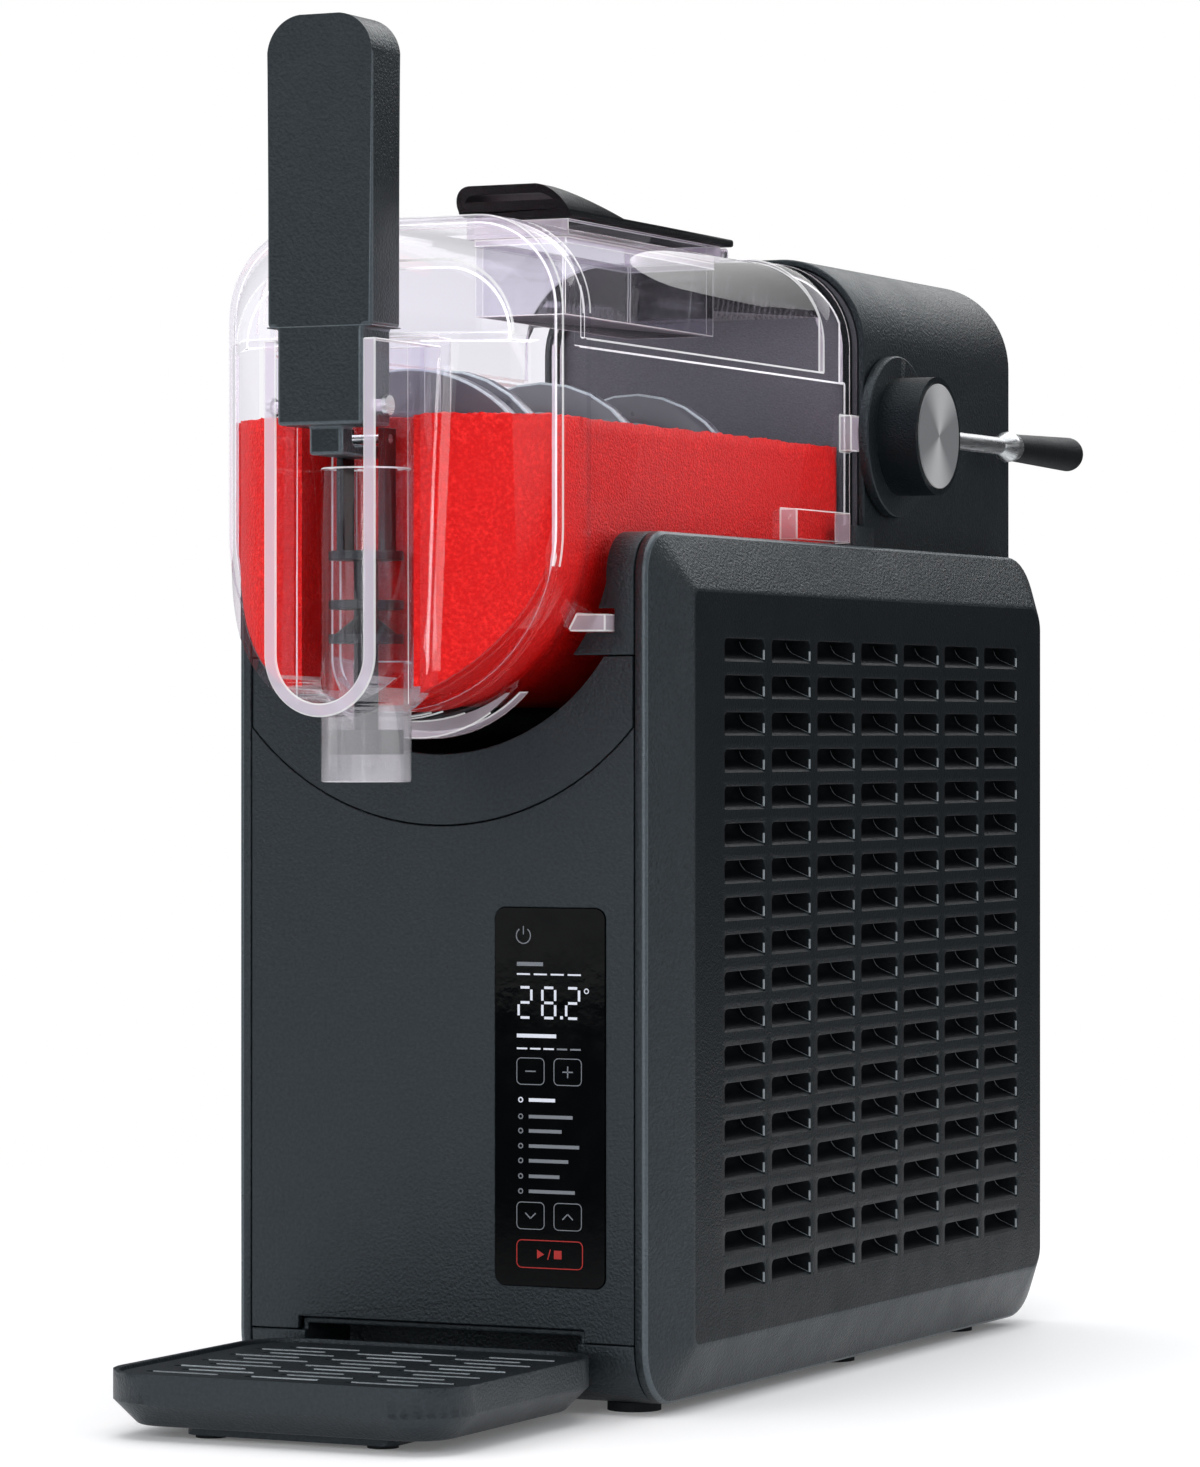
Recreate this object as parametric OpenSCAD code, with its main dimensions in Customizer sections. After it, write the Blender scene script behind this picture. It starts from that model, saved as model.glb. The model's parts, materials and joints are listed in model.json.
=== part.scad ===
// Countertop slush machine: a vented casing with a drive tower, a clear vessel with a stirring
// auger round a cold drum, a tap with a pull handle, a vessel lock, a catch and a drip tray.
// The front panel is the plane y = 0 while the pieces are drawn; placed() then centres the machine.

/* [Casing] */
// Width over the two vented side covers
body_w = 169.4; // [166:0.2:176]
// Depth of the casing, front panel to rear panel
body_d = 353; // [345:1:370]
// Height of the top deck above the counter
body_h = 291.6; // [285:0.2:300]
// Width of a side cover, from its seam with the front panel
cover_w = 13.2; // [12.2:0.1:14.2]
// How far a side cover stands out past its rim
bulge = 9; // [6:0.5:10]
// Width of the sloping border round the vents
border = 19; // [15:0.5:22]
// Wall of the moulded covers
skin = 2.5; // [2:0.1:3]
// Open seam between neighbouring covers
seam = 0.4; // [0.3:0.05:0.6]
// Corner radius of the casing, front top
r_front_top = 15; // [10:1:20]
// Corner radius of the casing, front bottom
r_front_low = 20; // [12:1:24]
// Corner radius of the casing, rear top
r_rear_top = 28; // [20:1:36]
// Corner radius of the casing, rear bottom
r_rear_low = 27; // [18:1:30]
// Height of the base pan's front edge above the counter
base_h = 24; // [22:0.5:28]

/* [Vents] */
// Length of a vent slot
vent_l = 33; // [24:1:35]
// Height of a vent slot
vent_h = 7.8; // [5:0.2:9]
// Spacing of the slots along a row
vent_pitch_y = 38.9; // [36:0.1:44]
// Spacing of the rows
vent_pitch_z = 12.4; // [10:0.1:16]
// Radius of a slot's upper corners
vent_r = 2.4; // [1:0.1:2.5]

/* [Feet] */
// Diameter of a rubber foot
foot_d = 18; // [14:0.5:22]
// Height of a foot below the casing
foot_h = 3.2; // [2.5:0.1:5]

/* [Control panel] */
// Width of the control glass
glass_w = 40.2; // [34:0.2:44]
// Height of the control glass
glass_h = 124.8; // [110:0.2:130]
// Centre of the glass from the middle of the machine
glass_x = 41; // [38:0.5:44]
// Lower edge of the glass above the counter
glass_z = 42.3; // [36:0.2:46]
// Thickness of the glass
glass_t = 3; // [2:0.1:4]

/* [Drive tower] */
// Inset of the drive tower from the side covers
tower_in = 7; // [5:0.5:8]
// Height of the tower above the deck
tower_h = 105.9; // [103:0.1:112]
// Distance of the tower's front from the front panel
tower_y = 210; // [205:1:216]
// Corner radius of the tower's arch
tower_r = 33; // [26:1:38]

/* [Vessel] */
// Inset of the vessel's barrel from the side covers
vessel_in = 11.5; // [10.9:0.1:12.5]
// How far the hood band stands out round the barrel
hood_step = 2; // [1.5:0.1:4]
// Wall of the clear vessel
clear_t = 2.5; // [2:0.1:3]
// How far the hood's front edge stands before the front panel
hood_front = 33; // [30:0.5:36]
// Width of the hood band
hood_band = 21; // [16:0.5:26]
// Height of the ledge above the auger's axis
ledge_h = 63; // [61.5:0.5:66]
// Height of the barrel's top above the auger's axis
barrel_top = 103.5; // [102:0.1:104]
// Inset of the upper window from the barrel's sides
window_in = 2; // [1:0.1:3]
// Corner radius of the vessel's arch
arch_r = 32; // [26:1:36]
// How far the nose reaches before the front panel
nose_front = 62; // [60:0.5:66]
// Height of the slush above the auger's axis
slush_h = 37; // [30:0.5:42]

/* [Tap] */
// Outer width of the tap housing
tap_w = 40.4; // [38:0.2:44]
// Side wall of the tap housing
tap_wall = 4.4; // [3.5:0.1:5]
// How far the tap housing's front stands before the front panel
tap_front = 84; // [82:0.5:88]
// Distance of the tap tube's axis before the front panel
tube_y = 52; // [51:0.5:53]
// Outer diameter of the tap tube
tube_d = 29.4; // [27:0.2:30]
// Bore of the tap tube
tube_bore = 25; // [22:0.2:25.4]
// Height of the handle's top above its pin
handle_h = 125.3; // [100:0.5:135]
// Width of the handle's grip
handle_w = 38; // [34:0.5:40]
// Thickness of the handle
handle_t = 19.7; // [17:0.1:20]
// Corner radius of the grip's top
handle_r = 13; // [8:0.5:16]
// Diameter of the handle's pin
pin_d = 4; // [3:0.1:5]

/* [Lock] */
// Diameter of the lock's flange
flange_d = 59; // [52:0.5:62]
// Diameter of the lock's hub
hub_d = 43; // [40:0.5:46]
// Diameter of the brushed disc
disc_d = 38; // [34:0.5:39]
// Length of the lever from the lock's axis
lever_l = 150; // [130:1:160]
// Diameter of the lever's rod
rod_d = 6.5; // [5:0.1:7]
// Diameter of the grip's end
grip_d = 13; // [12:0.2:15]

/* [Lid] */
// Width of the fill lid
lid_w = 42; // [40:0.5:46]
// Distance of the lid's front edge behind the front panel
lid_y = 46; // [42:0.5:52]
// Height of the lid's grip above its plate
lid_grip = 8.1; // [6:0.1:10]

/* [Drip tray] */
// Width of the drip tray
tray_w = 128; // [120:1:136]
// How far the tray stands before the front panel
tray_reach = 120; // [110:1:130]
// Height of the tray's rim above the counter
tray_h = 21.5; // [20:0.1:22]
// Corner radius of the tray
tray_r = 21; // [16:0.5:24]
// Slope at the bottom of the tray's wall
tray_slope = 8; // [5:0.5:9]

/* [Hidden] */
$fn = 64;
eps = 0.01;
// Clearances: between bodies that move, in a running bore, and of a seated piece
gap = 0.35;
run = 0.05;
seat = 0.3;

// Casing
x_side = body_w / 2;
x_panel = x_side - cover_w;
tower_w = 2 * (x_panel - tower_in);
barrel_r = x_panel - vessel_in;
hood_r = barrel_r + hood_step;
x_rim = x_side - bulge;
floor_z = foot_h + skin;
plane_d = body_d - 2 * border;
plane_h = body_h - foot_h - 2 * border;
vent_margin = 14;
vent_cols = floor((plane_d - 2 * vent_margin - vent_l) / vent_pitch_y) + 1;
vent_rows = floor((plane_h - 2 * vent_margin - vent_h) / vent_pitch_z) + 1;
vent_field_y = (vent_cols - 1) * vent_pitch_y + vent_l;
vent_field_z = (vent_rows - 1) * vent_pitch_z + vent_h;
vent_y0 = (body_d - vent_field_y) / 2;
vent_z0 = foot_h + border + (plane_h - vent_field_z) / 2;
foot_stem_d = 6;
foot_x = x_panel - 12;
foot_head = 2;
hull_fn = 32;
glass_r = 3.6;
glass_proud = 0.3;
glass_back = glass_t - glass_proud;
board_pillar = 4;
board_t = 1.6;

// Auger axis and the levels that follow it
axis_z = body_h - 0.6;
ledge_z = axis_z + ledge_h;
top_z = axis_z + barrel_top;
collar_top = barrel_top + 1.4;
hood_top = barrel_top - 0.5;
slush_z = axis_z + slush_h;
seam_z = body_h - 41.2;

// Saddle that takes the vessel
saddle_x = barrel_r + 1.3;
saddle_cut_r = barrel_r + 3.5;
saddle_floor = axis_z - saddle_cut_r - 15;
saddle_corner = 45;
notch_low = axis_z - 33;
notch_high = axis_z - 25;
notch_depth = 12;
deck_shelf = 10;
clip_h = 8;

// Condensation catch
catch_x = x_panel - seam;
catch_drop = 96.6;
catch_side = 64;
catch_low_z = axis_z - catch_drop;
catch_sag = catch_drop - catch_side;
catch_r = (catch_x * catch_x + catch_sag * catch_sag) / (2 * catch_sag);
catch_cut_r = saddle_cut_r + 9.5;
catch_pan_r = saddle_cut_r + 12;
catch_pan_t = 2;
catch_pan_x = barrel_r - 17;
catch_pan_d = 150;
catch_gap = 1.5;
runner_x = 12;

// Vessel
wall_r = barrel_r - clear_t;
hood_y = -hood_front;
hood_back = hood_y + hood_band;
collar_y = tower_y - 26;
gasket_t = 1.7;
vessel_back = tower_y - gap - gasket_t;
nose_bow = 60;
edge_step = 0.8;
lip_r = hood_r - edge_step;
nose_r = lip_r - edge_step / 2;
lip_top = hood_top - edge_step;
lip_arch_r = arch_r - edge_step;
hood_fn = 72;
front_arch_x = hood_r - 11;
front_arch_top = barrel_top - 16;
front_arch_r = 26;
front_arch_y = hood_y - 14;
skirt_x = hood_r - 26;
skirt_drop = hood_r + 6;
skirt_rise = 15.6;
skirt_r = (skirt_x * skirt_x + skirt_rise * skirt_rise) / (2 * skirt_rise);
skirt_y = -17;
skirt_t = 12;
foot_lug_x = x_panel - 7.5;
foot_lug_reach = 6;
foot_lug_top = notch_high - 2;
foot_lug_in = sqrt(pow(wall_r, 2) - pow(axis_z - foot_lug_top, 2)) + 0.2;
side_lug_y = 145;
side_lug_l = 48;
side_lug_h = 11;
side_lug_w = 6.5;
side_lug_z = body_h + gap + 1;
hook_w = 10;
hook_h = 13;

// Auger, drum and drive
auger_r = wall_r - 2.5;
drum_r = auger_r - 12;
drum_front = -14;
auger_front = -24;
auger_disc_t = 6;
auger_pitch = 75;
blade_t = 6;
shaft_d = 12;
bulkhead_t = 4;
bulkhead_y = tower_y;
drum_wall = 3;
coil_d = 6;
coil_pitch = 16;
motor_r = 38;
motor_behind = 27;
motor_l = body_d - r_rear_top - motor_behind - bulkhead_y - bulkhead_t;
gearbox_l = 30;
shaft_end = 6;
shaft_in = 36;
cap_l = 9;
cap_r = 14;

// Tap
tap_x = tap_w / 2;
tap_back = 38;
tap_top = axis_z + 60;
tap_low = axis_z - nose_r - 0.2;
tube_r = tube_d / 2;
bore_r = tube_bore / 2;
tube_top = axis_z + 20;
spout_low = axis_z - 82;
port_low = axis_z - nose_r + 3.8;
port_h = 14;
port_w = 18;
slot_wall = clear_t;
pin_y = -(tap_front - 7.3);
pin_z = axis_z + 38.7;
pin_r = pin_d / 2;
pin_head_r = pin_r + 1.2;
pin_head_t = 1.6;
handle_back = -tap_front + handle_t;
handle_low = pin_z - 6.2;
handle_seam = pin_z + 25.3;
handle_top = pin_z + handle_h;
handle_neck = tap_w - 2 * tap_wall - 2 * gap;
arm_w = 12;
arm_top = pin_z - 11.7;
arm_t = 4;
arm_end = -tube_y + 4;
lift_pin_r = 1.5;
lift_pin_z = arm_top + 2 + gap;
cheek_t = 2.6;
cheek_x = arm_w / 2 + gap;
plunger_r = bore_r - 0.3;
rod_r = 4;
plug_low = spout_low + 9;
plug_h = 8;
seal_t = 3;
seal_z = -37;
flange_z = [-10, -26];
cheek_w = 8;

// Lock
lock_y = tower_y + 22.5;
lock_z = axis_z + 42;
flange_in = tower_w / 2 + 0.5;
flange_t = 4;
hub_l = 15.2;
hub_face = flange_in + flange_t + hub_l;
disc_t = 0.5;
lever_x = hub_face + disc_t - grip_d / 2;
spindle_r = 6;
cam_r = 16;
cam_t = 5;
ferrule_y = 74;
ferrule_l = 14;
ferrule_tail = 5;
ferrule_d = rod_d + 5;
grip_start = ferrule_y + ferrule_l;
grip_taper = 1.4;

// Lid and filling funnel
hinge_y = tower_y - 18.5;
hinge_z = axis_z + collar_top + 2.5;
hinge_r = 2.2;
hinge_pin_r = 1.2;
hinge_x = 14;
lug_t = 4;
lid_x = lid_w / 2;
lid_low = hinge_z + hinge_r + seat;
lid_t = 2.7;
lid_flat = lid_low + lid_t;
lid_top = lid_flat + lid_grip;
lid_ramp = 46;
lid_lip = 7;
lid_undercut = 12;
lid_corner = 9;
fill_x = lid_x - 3.5;
fill_front = lid_y + 14;
fill_back = hinge_y - 9;
funnel_t = 1.8;
funnel_low = axis_z + 77;
rim_out = 2;

// Drip tray and its bay in the base
tray_x = tray_w / 2;
tray_back = -2;
tray_low = 4;
tray_t = 2.2;
tongue_x = x_panel - 23.5;
tongue_l = 26;
tongue_low = 10;
tongue_t = 4;
bay_x = tongue_x + 3;
bay_l = 32;
bay_low = tongue_low - seat;
bay_high = base_h + 2;
bay_wall = 2;
grate_t = 2.4;
grate_seat = 3;
grate_z = tray_h - 1.2;
slot_l = 27;
slot_w = 3.2;
slot_pitch_y = 9;
slot_pitch_x = 36;
pad_d = 10;
pad_h = 1.2;
plinth_x = 26;
plinth_y = 14;
slot_stagger = 4;

// Machinery in the casing
comp_behind = 90;
comp_y = body_d - comp_behind;
comp_r = 48;
comp_h = 118;
comp_foot_h = 8;
comp_feet = [60, 180, 300];
comp_bolt_r = comp_r + 5;
comp_lug_w = 18;
comp_lug_end = 7;
comp_lug_t = 3;
grommet_d = 8;
comp_low = floor_z + comp_foot_h;
cond_x = 32;
cond_t = 22;
cond_y = 48;
cond_d = 130;
cond_h = 150;
fin_t = 0.8;
fin_pitch = 6.5;
cond_tube_r = 4;
cond_edge = 6;
cond_row = cond_x + cond_edge;
cond_first = floor_z + 15;
cond_step = 24;
cond_last = floor_z + cond_h - 10;
cond_bend = 4;
fan_y = cond_y + cond_d / 2;
fan_z = floor_z + cond_h / 2;
fan_r = 54;
fan_t = 16;
fan_hub_r = 16;
shroud_t = 4;
shroud_x = cond_x - shroud_t;
fan_x = shroud_x - 4 - fan_t;
fan_blades = 7;
fan_motor_r = 18;
fan_motor_l = 26;
fan_shaft_r = 2.5;
strut_w = 10;
line_r = 3;
line_out = 12;
inlet_w = 28;
inlet_h = 24;
inlet_z = 60;
prong_x = 7;
prong_h = 4;
prong_t = 2;
prong_in = 4;
louvre_x = 40;
louvre_l = 28;
louvre_h = 3.5;
louvre_pitch = 8;
louvre_low = 110;
louvre_high = 190;
screw_r = 3.4;
screw_t = 1.8;

// Feet clear of the tray's bay, the condenser and the compressor
foot_y = [r_front_low + foot_stem_d, cond_y + cond_d + line_out, body_d - 50];

// Middle of the machine, from the tray's front edge to the end of the lever
lever_end = lock_y + lever_l;
mid_y = (lever_end - tray_reach) / 2;

charcoal = "#2a2f33";
black = "#15181b";
clear = [0.86, 0.85, 0.9, 0.4];
steel = "#b9bcbe";
red = "#e60f0f";

// Centres the machine over the counter
module placed() translate([0, -mid_y, 0]) children();

// Extrudes an outline drawn in (x, z) along y, and one drawn in (y, z) along x
module along_y(y0, y1) translate([0, y1, 0]) rotate([90, 0, 0]) linear_extrude(y1 - y0) children();
module along_x(x0, x1) translate([x0, 0, 0]) rotate([90, 0, 90]) linear_extrude(x1 - x0) children();

// A round bar along x or y, from one end to the other
module bar_x(x0, x1, y, z, r) translate([x0, y, z]) rotate([0, 90, 0]) cylinder(r = r, h = x1 - x0);
module bar_y(y0, y1, x, z, r) translate([x, y0, z]) rotate([-90, 0, 0]) cylinder(r = r, h = y1 - y0);

// A box from its low corner to its high corner
module block(a, b) translate(a) cube(b - a);

// Both mirror images of what is drawn on the right
module both_sides() {
    children();
    mirror([1, 0, 0]) children();
}

// A rectangle with round corners
module round_rect(x0, x1, y0, y1, r) {
    translate([x0 + r, y0]) square([x1 - x0 - 2 * r, y1 - y0]);
    translate([x0, y0 + r]) square([x1 - x0, y1 - y0 - 2 * r]);
    for (x = [x0 + r, x1 - r], y = [y0 + r, y1 - r]) translate([x, y]) circle(r);
}

// The waste at one corner of an outline, pointing along dx and dy
module corner_waste(x, y, dx, dy, r) {
    difference() {
        translate([dx < 0 ? x - r : x - 1, dy < 0 ? y - r : y - 1]) square(r + 1);
        translate([x + dx * r, y + dy * r]) circle(r);
    }
}

// Side outline of the casing in (y, z), moved in by a distance
module casing_outline(inset = 0) {
    y0 = inset;
    y1 = body_d - inset;
    z0 = foot_h + inset;
    z1 = body_h - inset;
    least = 3;
    difference() {
        translate([y0, z0]) square([y1 - y0, z1 - z0]);
        corner_waste(y0, z1, 1, -1, max(r_front_top - inset, least));
        corner_waste(y0, z0, 1, 1, max(r_front_low - inset, least));
        corner_waste(y1, z1, -1, -1, max(r_rear_top - inset, least));
        corner_waste(y1, z0, -1, 1, max(r_rear_low - inset, least));
    }
}

// The casing's skin between the side covers
module casing_skin() {
    along_x(-x_panel, x_panel) difference() {
        casing_outline();
        casing_outline(skin);
    }
}

// Opening in the casing's front for the vessel, in (x, z)
module saddle_outline() {
    intersection() {
        union() {
            translate([0, axis_z]) circle(saddle_cut_r);
            translate([-saddle_x, axis_z]) square([2 * saddle_x, body_h - axis_z + 1]);
        }
        translate([-saddle_x, saddle_floor]) square([2 * saddle_x, body_h]);
    }
}

// Front outline of the condensation catch, grown by a distance
module catch_outline(grow = 0) {
    intersection() {
        translate([0, catch_low_z + catch_r]) circle(catch_r + grow);
        translate([-catch_x - grow, 0]) square([2 * (catch_x + grow), seam_z - seam / 2 + grow]);
    }
}

// Lower edge of the vessel's front foot, grown by a distance
module skirt_outline(grow = 0) {
    intersection() {
        translate([0, axis_z - skirt_drop + skirt_r]) circle(skirt_r + grow);
        translate([-skirt_x - grow, 0]) square([2 * (skirt_x + grow), axis_z - skirt_drop + skirt_rise]);
    }
}

// Notches in the saddle for the vessel's front feet
module foot_notches() {
    both_sides() block(
        [foot_lug_in - gap, -1, notch_low],
        [foot_lug_x + gap, notch_depth, notch_high]
    );
}

module base_pan() {
    color(charcoal) placed() difference() {
        union() {
            intersection() {
                casing_skin();
                block([-x_panel, -1, 0], [x_panel, body_d + 1, base_h - seam / 2]);
            }
            both_sides() intersection() {
                along_x(x_panel - skin, x_panel) casing_outline();
                block([0, -1, 0], [x_panel, body_d + 1, base_h - seam / 2]);
            }
            intersection() {
                block(
                    [-bay_x - bay_wall, 0, floor_z - 1],
                    [bay_x + bay_wall, bay_l + bay_wall, bay_high + bay_wall]
                );
                along_x(-x_panel, x_panel) casing_outline(skin - eps);
            }
        }
        block([-bay_x, -1, bay_low], [bay_x, bay_l, bay_high]);
        for (y = foot_y) both_sides() translate([foot_x, y, 0]) cylinder(d = foot_stem_d, h = floor_z + 1);
    }
}

module front_panel() {
    color(charcoal) placed() difference() {
        intersection() {
            casing_skin();
            block([-x_panel, -1, base_h + seam / 2], [x_panel, skin, seam_z - seam / 2]);
        }
        along_y(-1, skin + 1) catch_outline(seam);
        along_y(-1, skin + 1) saddle_outline();
        along_y(-1, skin + 1) round_rect(
            glass_x - glass_w / 2 - seam / 2, glass_x + glass_w / 2 + seam / 2,
            glass_z - seam / 2, glass_z + glass_h + seam / 2, glass_r + seam / 2
        );
        block(
            [-bay_x - bay_wall - seam, -1, 0],
            [bay_x + bay_wall + seam, skin + 1, bay_high + bay_wall + seam]
        );
    }
}

module top_deck() {
    clip_y = side_lug_y + side_lug_l + gap;
    color(charcoal) placed() {
        difference() {
            intersection() {
                casing_skin();
                block([-x_panel, -1, seam_z + seam / 2], [x_panel, body_d + 1, body_h + 1]);
            }
            along_y(-1, tower_y + bulkhead_t + seat) saddle_outline();
            foot_notches();
            block(
                [-tower_w / 2 + deck_shelf, tower_y, seam_z],
                [tower_w / 2 - deck_shelf, body_d - r_rear_top, body_h + 1]
            );
        }
        block([saddle_x + 1, clip_y, body_h - skin / 2], [x_panel - skin, tower_y - 1, body_h + clip_h]);
    }
}

module saddle_trough() {
    back = tower_y - seat;
    high = body_h + 2 * saddle_corner;
    color(charcoal) placed() difference() {
        intersection() {
            along_y(skin + seam, back)
                round_rect(-saddle_x - skin, saddle_x + skin, saddle_floor - skin, high, saddle_corner);
            along_x(-x_panel, x_panel) casing_outline(skin + seam);
        }
        along_y(0, back + 1) round_rect(-saddle_x, saddle_x, saddle_floor, high, saddle_corner - skin);
        foot_notches();
    }
}

module bulkhead() {
    color(charcoal) placed() difference() {
        union() {
            along_y(bulkhead_y, bulkhead_y + bulkhead_t) intersection() {
                tower_outline(skin + seat);
                translate([-tower_w, axis_z]) square([2 * tower_w, 2 * tower_h]);
            }
            along_y(bulkhead_y, bulkhead_y + bulkhead_t)
                round_rect(-saddle_x, saddle_x, saddle_floor - skin, axis_z + 10, 10);
        }
        bar_y(bulkhead_y - 1, bulkhead_y + bulkhead_t + 1, 0, axis_z, shaft_d / 2 + gap);
    }
}

// Front outline of the drive tower in (x, z), moved in by a distance and carried down below the deck
module tower_outline(inset = 0, down = 0) {
    half = tower_w / 2 - inset;
    high = body_h + tower_h - inset;
    low = body_h - down;
    r = tower_r - inset;
    translate([-half, low]) square([2 * half, high - low - r]);
    translate([-half + r, low]) square([2 * (half - r), high - low]);
    for (x = [-half + r, half - r]) translate([x, high - r]) circle(r);
}

module drive_tower() {
    color(charcoal) placed() difference() {
        along_y(tower_y, body_d) tower_outline(0, r_rear_top);
        along_y(tower_y - 1, body_d - skin) tower_outline(skin, r_rear_top + 1);
        along_x(-tower_w, tower_w) casing_outline();
        bar_x(0, tower_w, lock_y, lock_z, spindle_r + run);
    }
}

module rear_panel() {
    low = base_h + seam / 2;
    color(charcoal) placed() difference() {
        intersection() {
            casing_skin();
            block([-x_panel, body_d - r_rear_low, low], [x_panel, body_d + 1, seam_z - seam / 2]);
        }
        block(
            [-inlet_w / 2 - seat, body_d - skin - 1, inlet_z - seat],
            [inlet_w / 2 + seat, body_d + 1, inlet_z + inlet_h + seat]
        );
        for (k = [-1 : 1], z = [louvre_low : louvre_pitch : louvre_high])
            translate([k * louvre_x, body_d, z])
                block([-louvre_l / 2, -skin - 1, 0], [louvre_l / 2, 1, louvre_h]);
    }
}

// Solid of a side cover, moved in by a distance on all sides but its open one
module cover_solid(inset = 0, open = 0) {
    slab = 0.02;
    hull() {
        along_x(x_panel + seam - open, x_panel + seam + slab) casing_outline(inset, $fn = hull_fn);
        along_x(x_rim - inset - slab, x_rim - inset) casing_outline(inset, $fn = hull_fn);
        along_x(x_side - inset - slab, x_side - inset) casing_outline(border + inset, $fn = hull_fn);
    }
}

// One vent slot in (y, z), with its upper corners round
module vent_slot() {
    square([vent_l, vent_h - vent_r]);
    translate([vent_r, 0]) square([vent_l - 2 * vent_r, vent_h]);
    for (y = [vent_r, vent_l - vent_r]) translate([y, vent_h - vent_r]) circle(vent_r, $fn = 24);
}

module side_cover() {
    difference() {
        cover_solid();
        cover_solid(skin, 1);
        along_x(x_side - skin - 1, x_side + 1)
            for (c = [0 : vent_cols - 1], r = [0 : vent_rows - 1])
                translate([vent_y0 + c * vent_pitch_y, vent_z0 + r * vent_pitch_z]) vent_slot();
    }
}

module side_cover_right() {
    color(charcoal) placed() side_cover();
}

module side_cover_left() {
    color(charcoal) placed() mirror([1, 0, 0]) side_cover();
}

module rubber_feet() {
    color(black) placed() for (y = foot_y) both_sides() translate([foot_x, y, 0]) {
        cylinder(d = foot_d, h = foot_h);
        cylinder(d = foot_stem_d - 2 * run, h = floor_z);
        translate([0, 0, floor_z]) cylinder(d = foot_stem_d + 3, h = foot_head);
    }
}

module control_glass() {
    color("#0a0c0e") placed() along_y(-glass_proud, glass_back) round_rect(
        glass_x - glass_w / 2, glass_x + glass_w / 2, glass_z, glass_z + glass_h, glass_r
    );
}

module control_board() {
    half = glass_w / 2 - 1;
    low = glass_z + 3;
    high = glass_z + glass_h - 3;
    front = glass_back + board_pillar;
    back = front + board_t;
    post = 4;
    chip = 16;
    color("#1f4a32") placed() {
        block([glass_x - half, front, low], [glass_x + half, back, high]);
        for (x = [glass_x - half + post, glass_x + half - post], z = [low + post, high - post])
            bar_y(glass_back, front, x, z, post / 2);
        for (i = [1 : 3])
            translate([glass_x, back, low + i * (high - low) / 4])
                block([-chip / 2, 0, -chip / 2], [chip / 2, 5, chip / 2]);
    }
}

module compressor() {
    dome_r = 16;
    color(black) placed() translate([0, comp_y, comp_low]) {
        rotate_extrude() {
            square([comp_r - dome_r, comp_h]);
            square([comp_r, comp_h - dome_r]);
            translate([comp_r - dome_r, comp_h - dome_r]) circle(dome_r);
        }
        for (a = comp_feet) rotate(a) difference() {
            block([-comp_lug_w / 2, 0, 0], [comp_lug_w / 2, comp_bolt_r + comp_lug_end, comp_lug_t]);
            translate([0, comp_bolt_r, -1]) cylinder(d = grommet_d, h = comp_lug_t + 2);
        }
    }
}

module compressor_grommets() {
    color("#222426") placed() for (a = comp_feet)
        translate([0, comp_y, floor_z]) rotate(a) translate([0, comp_bolt_r, 0]) {
            cylinder(d = grommet_d + 6, h = comp_foot_h);
            cylinder(d = grommet_d - 2 * run, h = comp_foot_h + comp_lug_t);
        }
}

module condenser() {
    count = floor(cond_d / fin_pitch);
    color(steel) placed() {
        for (i = [0 : count])
            block(
                [cond_x, cond_y + i * fin_pitch, floor_z],
                [cond_x + cond_t, cond_y + i * fin_pitch + fin_t, floor_z + cond_h]
            );
        for (x = [cond_row, cond_x + cond_t - cond_edge], z = [cond_first : cond_step : cond_last])
            bar_y(cond_y - cond_bend, cond_y + cond_d + cond_bend, x, z, cond_tube_r);
    }
}

module fan_shroud() {
    color(black) placed() difference() {
        union() {
            difference() {
                block(
                    [shroud_x, cond_y - 2, floor_z],
                    [shroud_x + shroud_t - seat, cond_y + cond_d + 2, floor_z + cond_h]
                );
                bar_x(shroud_x - 1, shroud_x + shroud_t + 1, fan_y, fan_z, fan_r + 3);
            }
            block(
                [shroud_x, cond_y, fan_z - strut_w / 2],
                [shroud_x + shroud_t - seat, cond_y + cond_d, fan_z + strut_w / 2]
            );
            bar_x(shroud_x, shroud_x + shroud_t - seat, fan_y, fan_z, fan_motor_r);
        }
        bar_x(shroud_x - 1, shroud_x + shroud_t + 1, fan_y, fan_z, fan_shaft_r + run);
    }
}

module fan_blade() {
    pitch_angle = 32;
    chord = 18;
    thick = 1.6;
    color("#2b2f33") placed() translate([fan_x, fan_y, fan_z]) rotate([0, 90, 0]) difference() {
        union() {
            cylinder(r = fan_hub_r, h = fan_t);
            for (i = [0 : fan_blades - 1]) rotate(i * 360 / fan_blades)
                translate([0, 0, fan_t / 2]) rotate([pitch_angle, 0, 0])
                    block([fan_hub_r - 3, -chord / 2, -thick / 2], [fan_r - 1, chord / 2, thick / 2]);
        }
        translate([0, 0, -1]) cylinder(r = fan_shaft_r + run, h = fan_t + 2);
    }
}

module fan_motor() {
    back = fan_x - gap;
    color("#3a3d40") placed() {
        bar_x(back - fan_motor_l, back, fan_y, fan_z, fan_motor_r);
        bar_x(back, shroud_x + shroud_t - seat, fan_y, fan_z, fan_shaft_r);
        block(
            [back - fan_motor_l, fan_y - 9, floor_z],
            [back - fan_motor_l + 3, fan_y + 9, fan_z - fan_motor_r + 4]
        );
    }
}

module gear_motor() {
    front = bulkhead_y + bulkhead_t;
    color("#4a4d50") placed() difference() {
        union() {
            bar_y(front, front + gearbox_l, 0, axis_z, motor_r);
            bar_y(front + gearbox_l, front + motor_l, 0, axis_z, motor_r - 8);
        }
        bar_y(front - 1, front + shaft_in + 4, 0, axis_z, shaft_d / 2 + run);
    }
}

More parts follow.
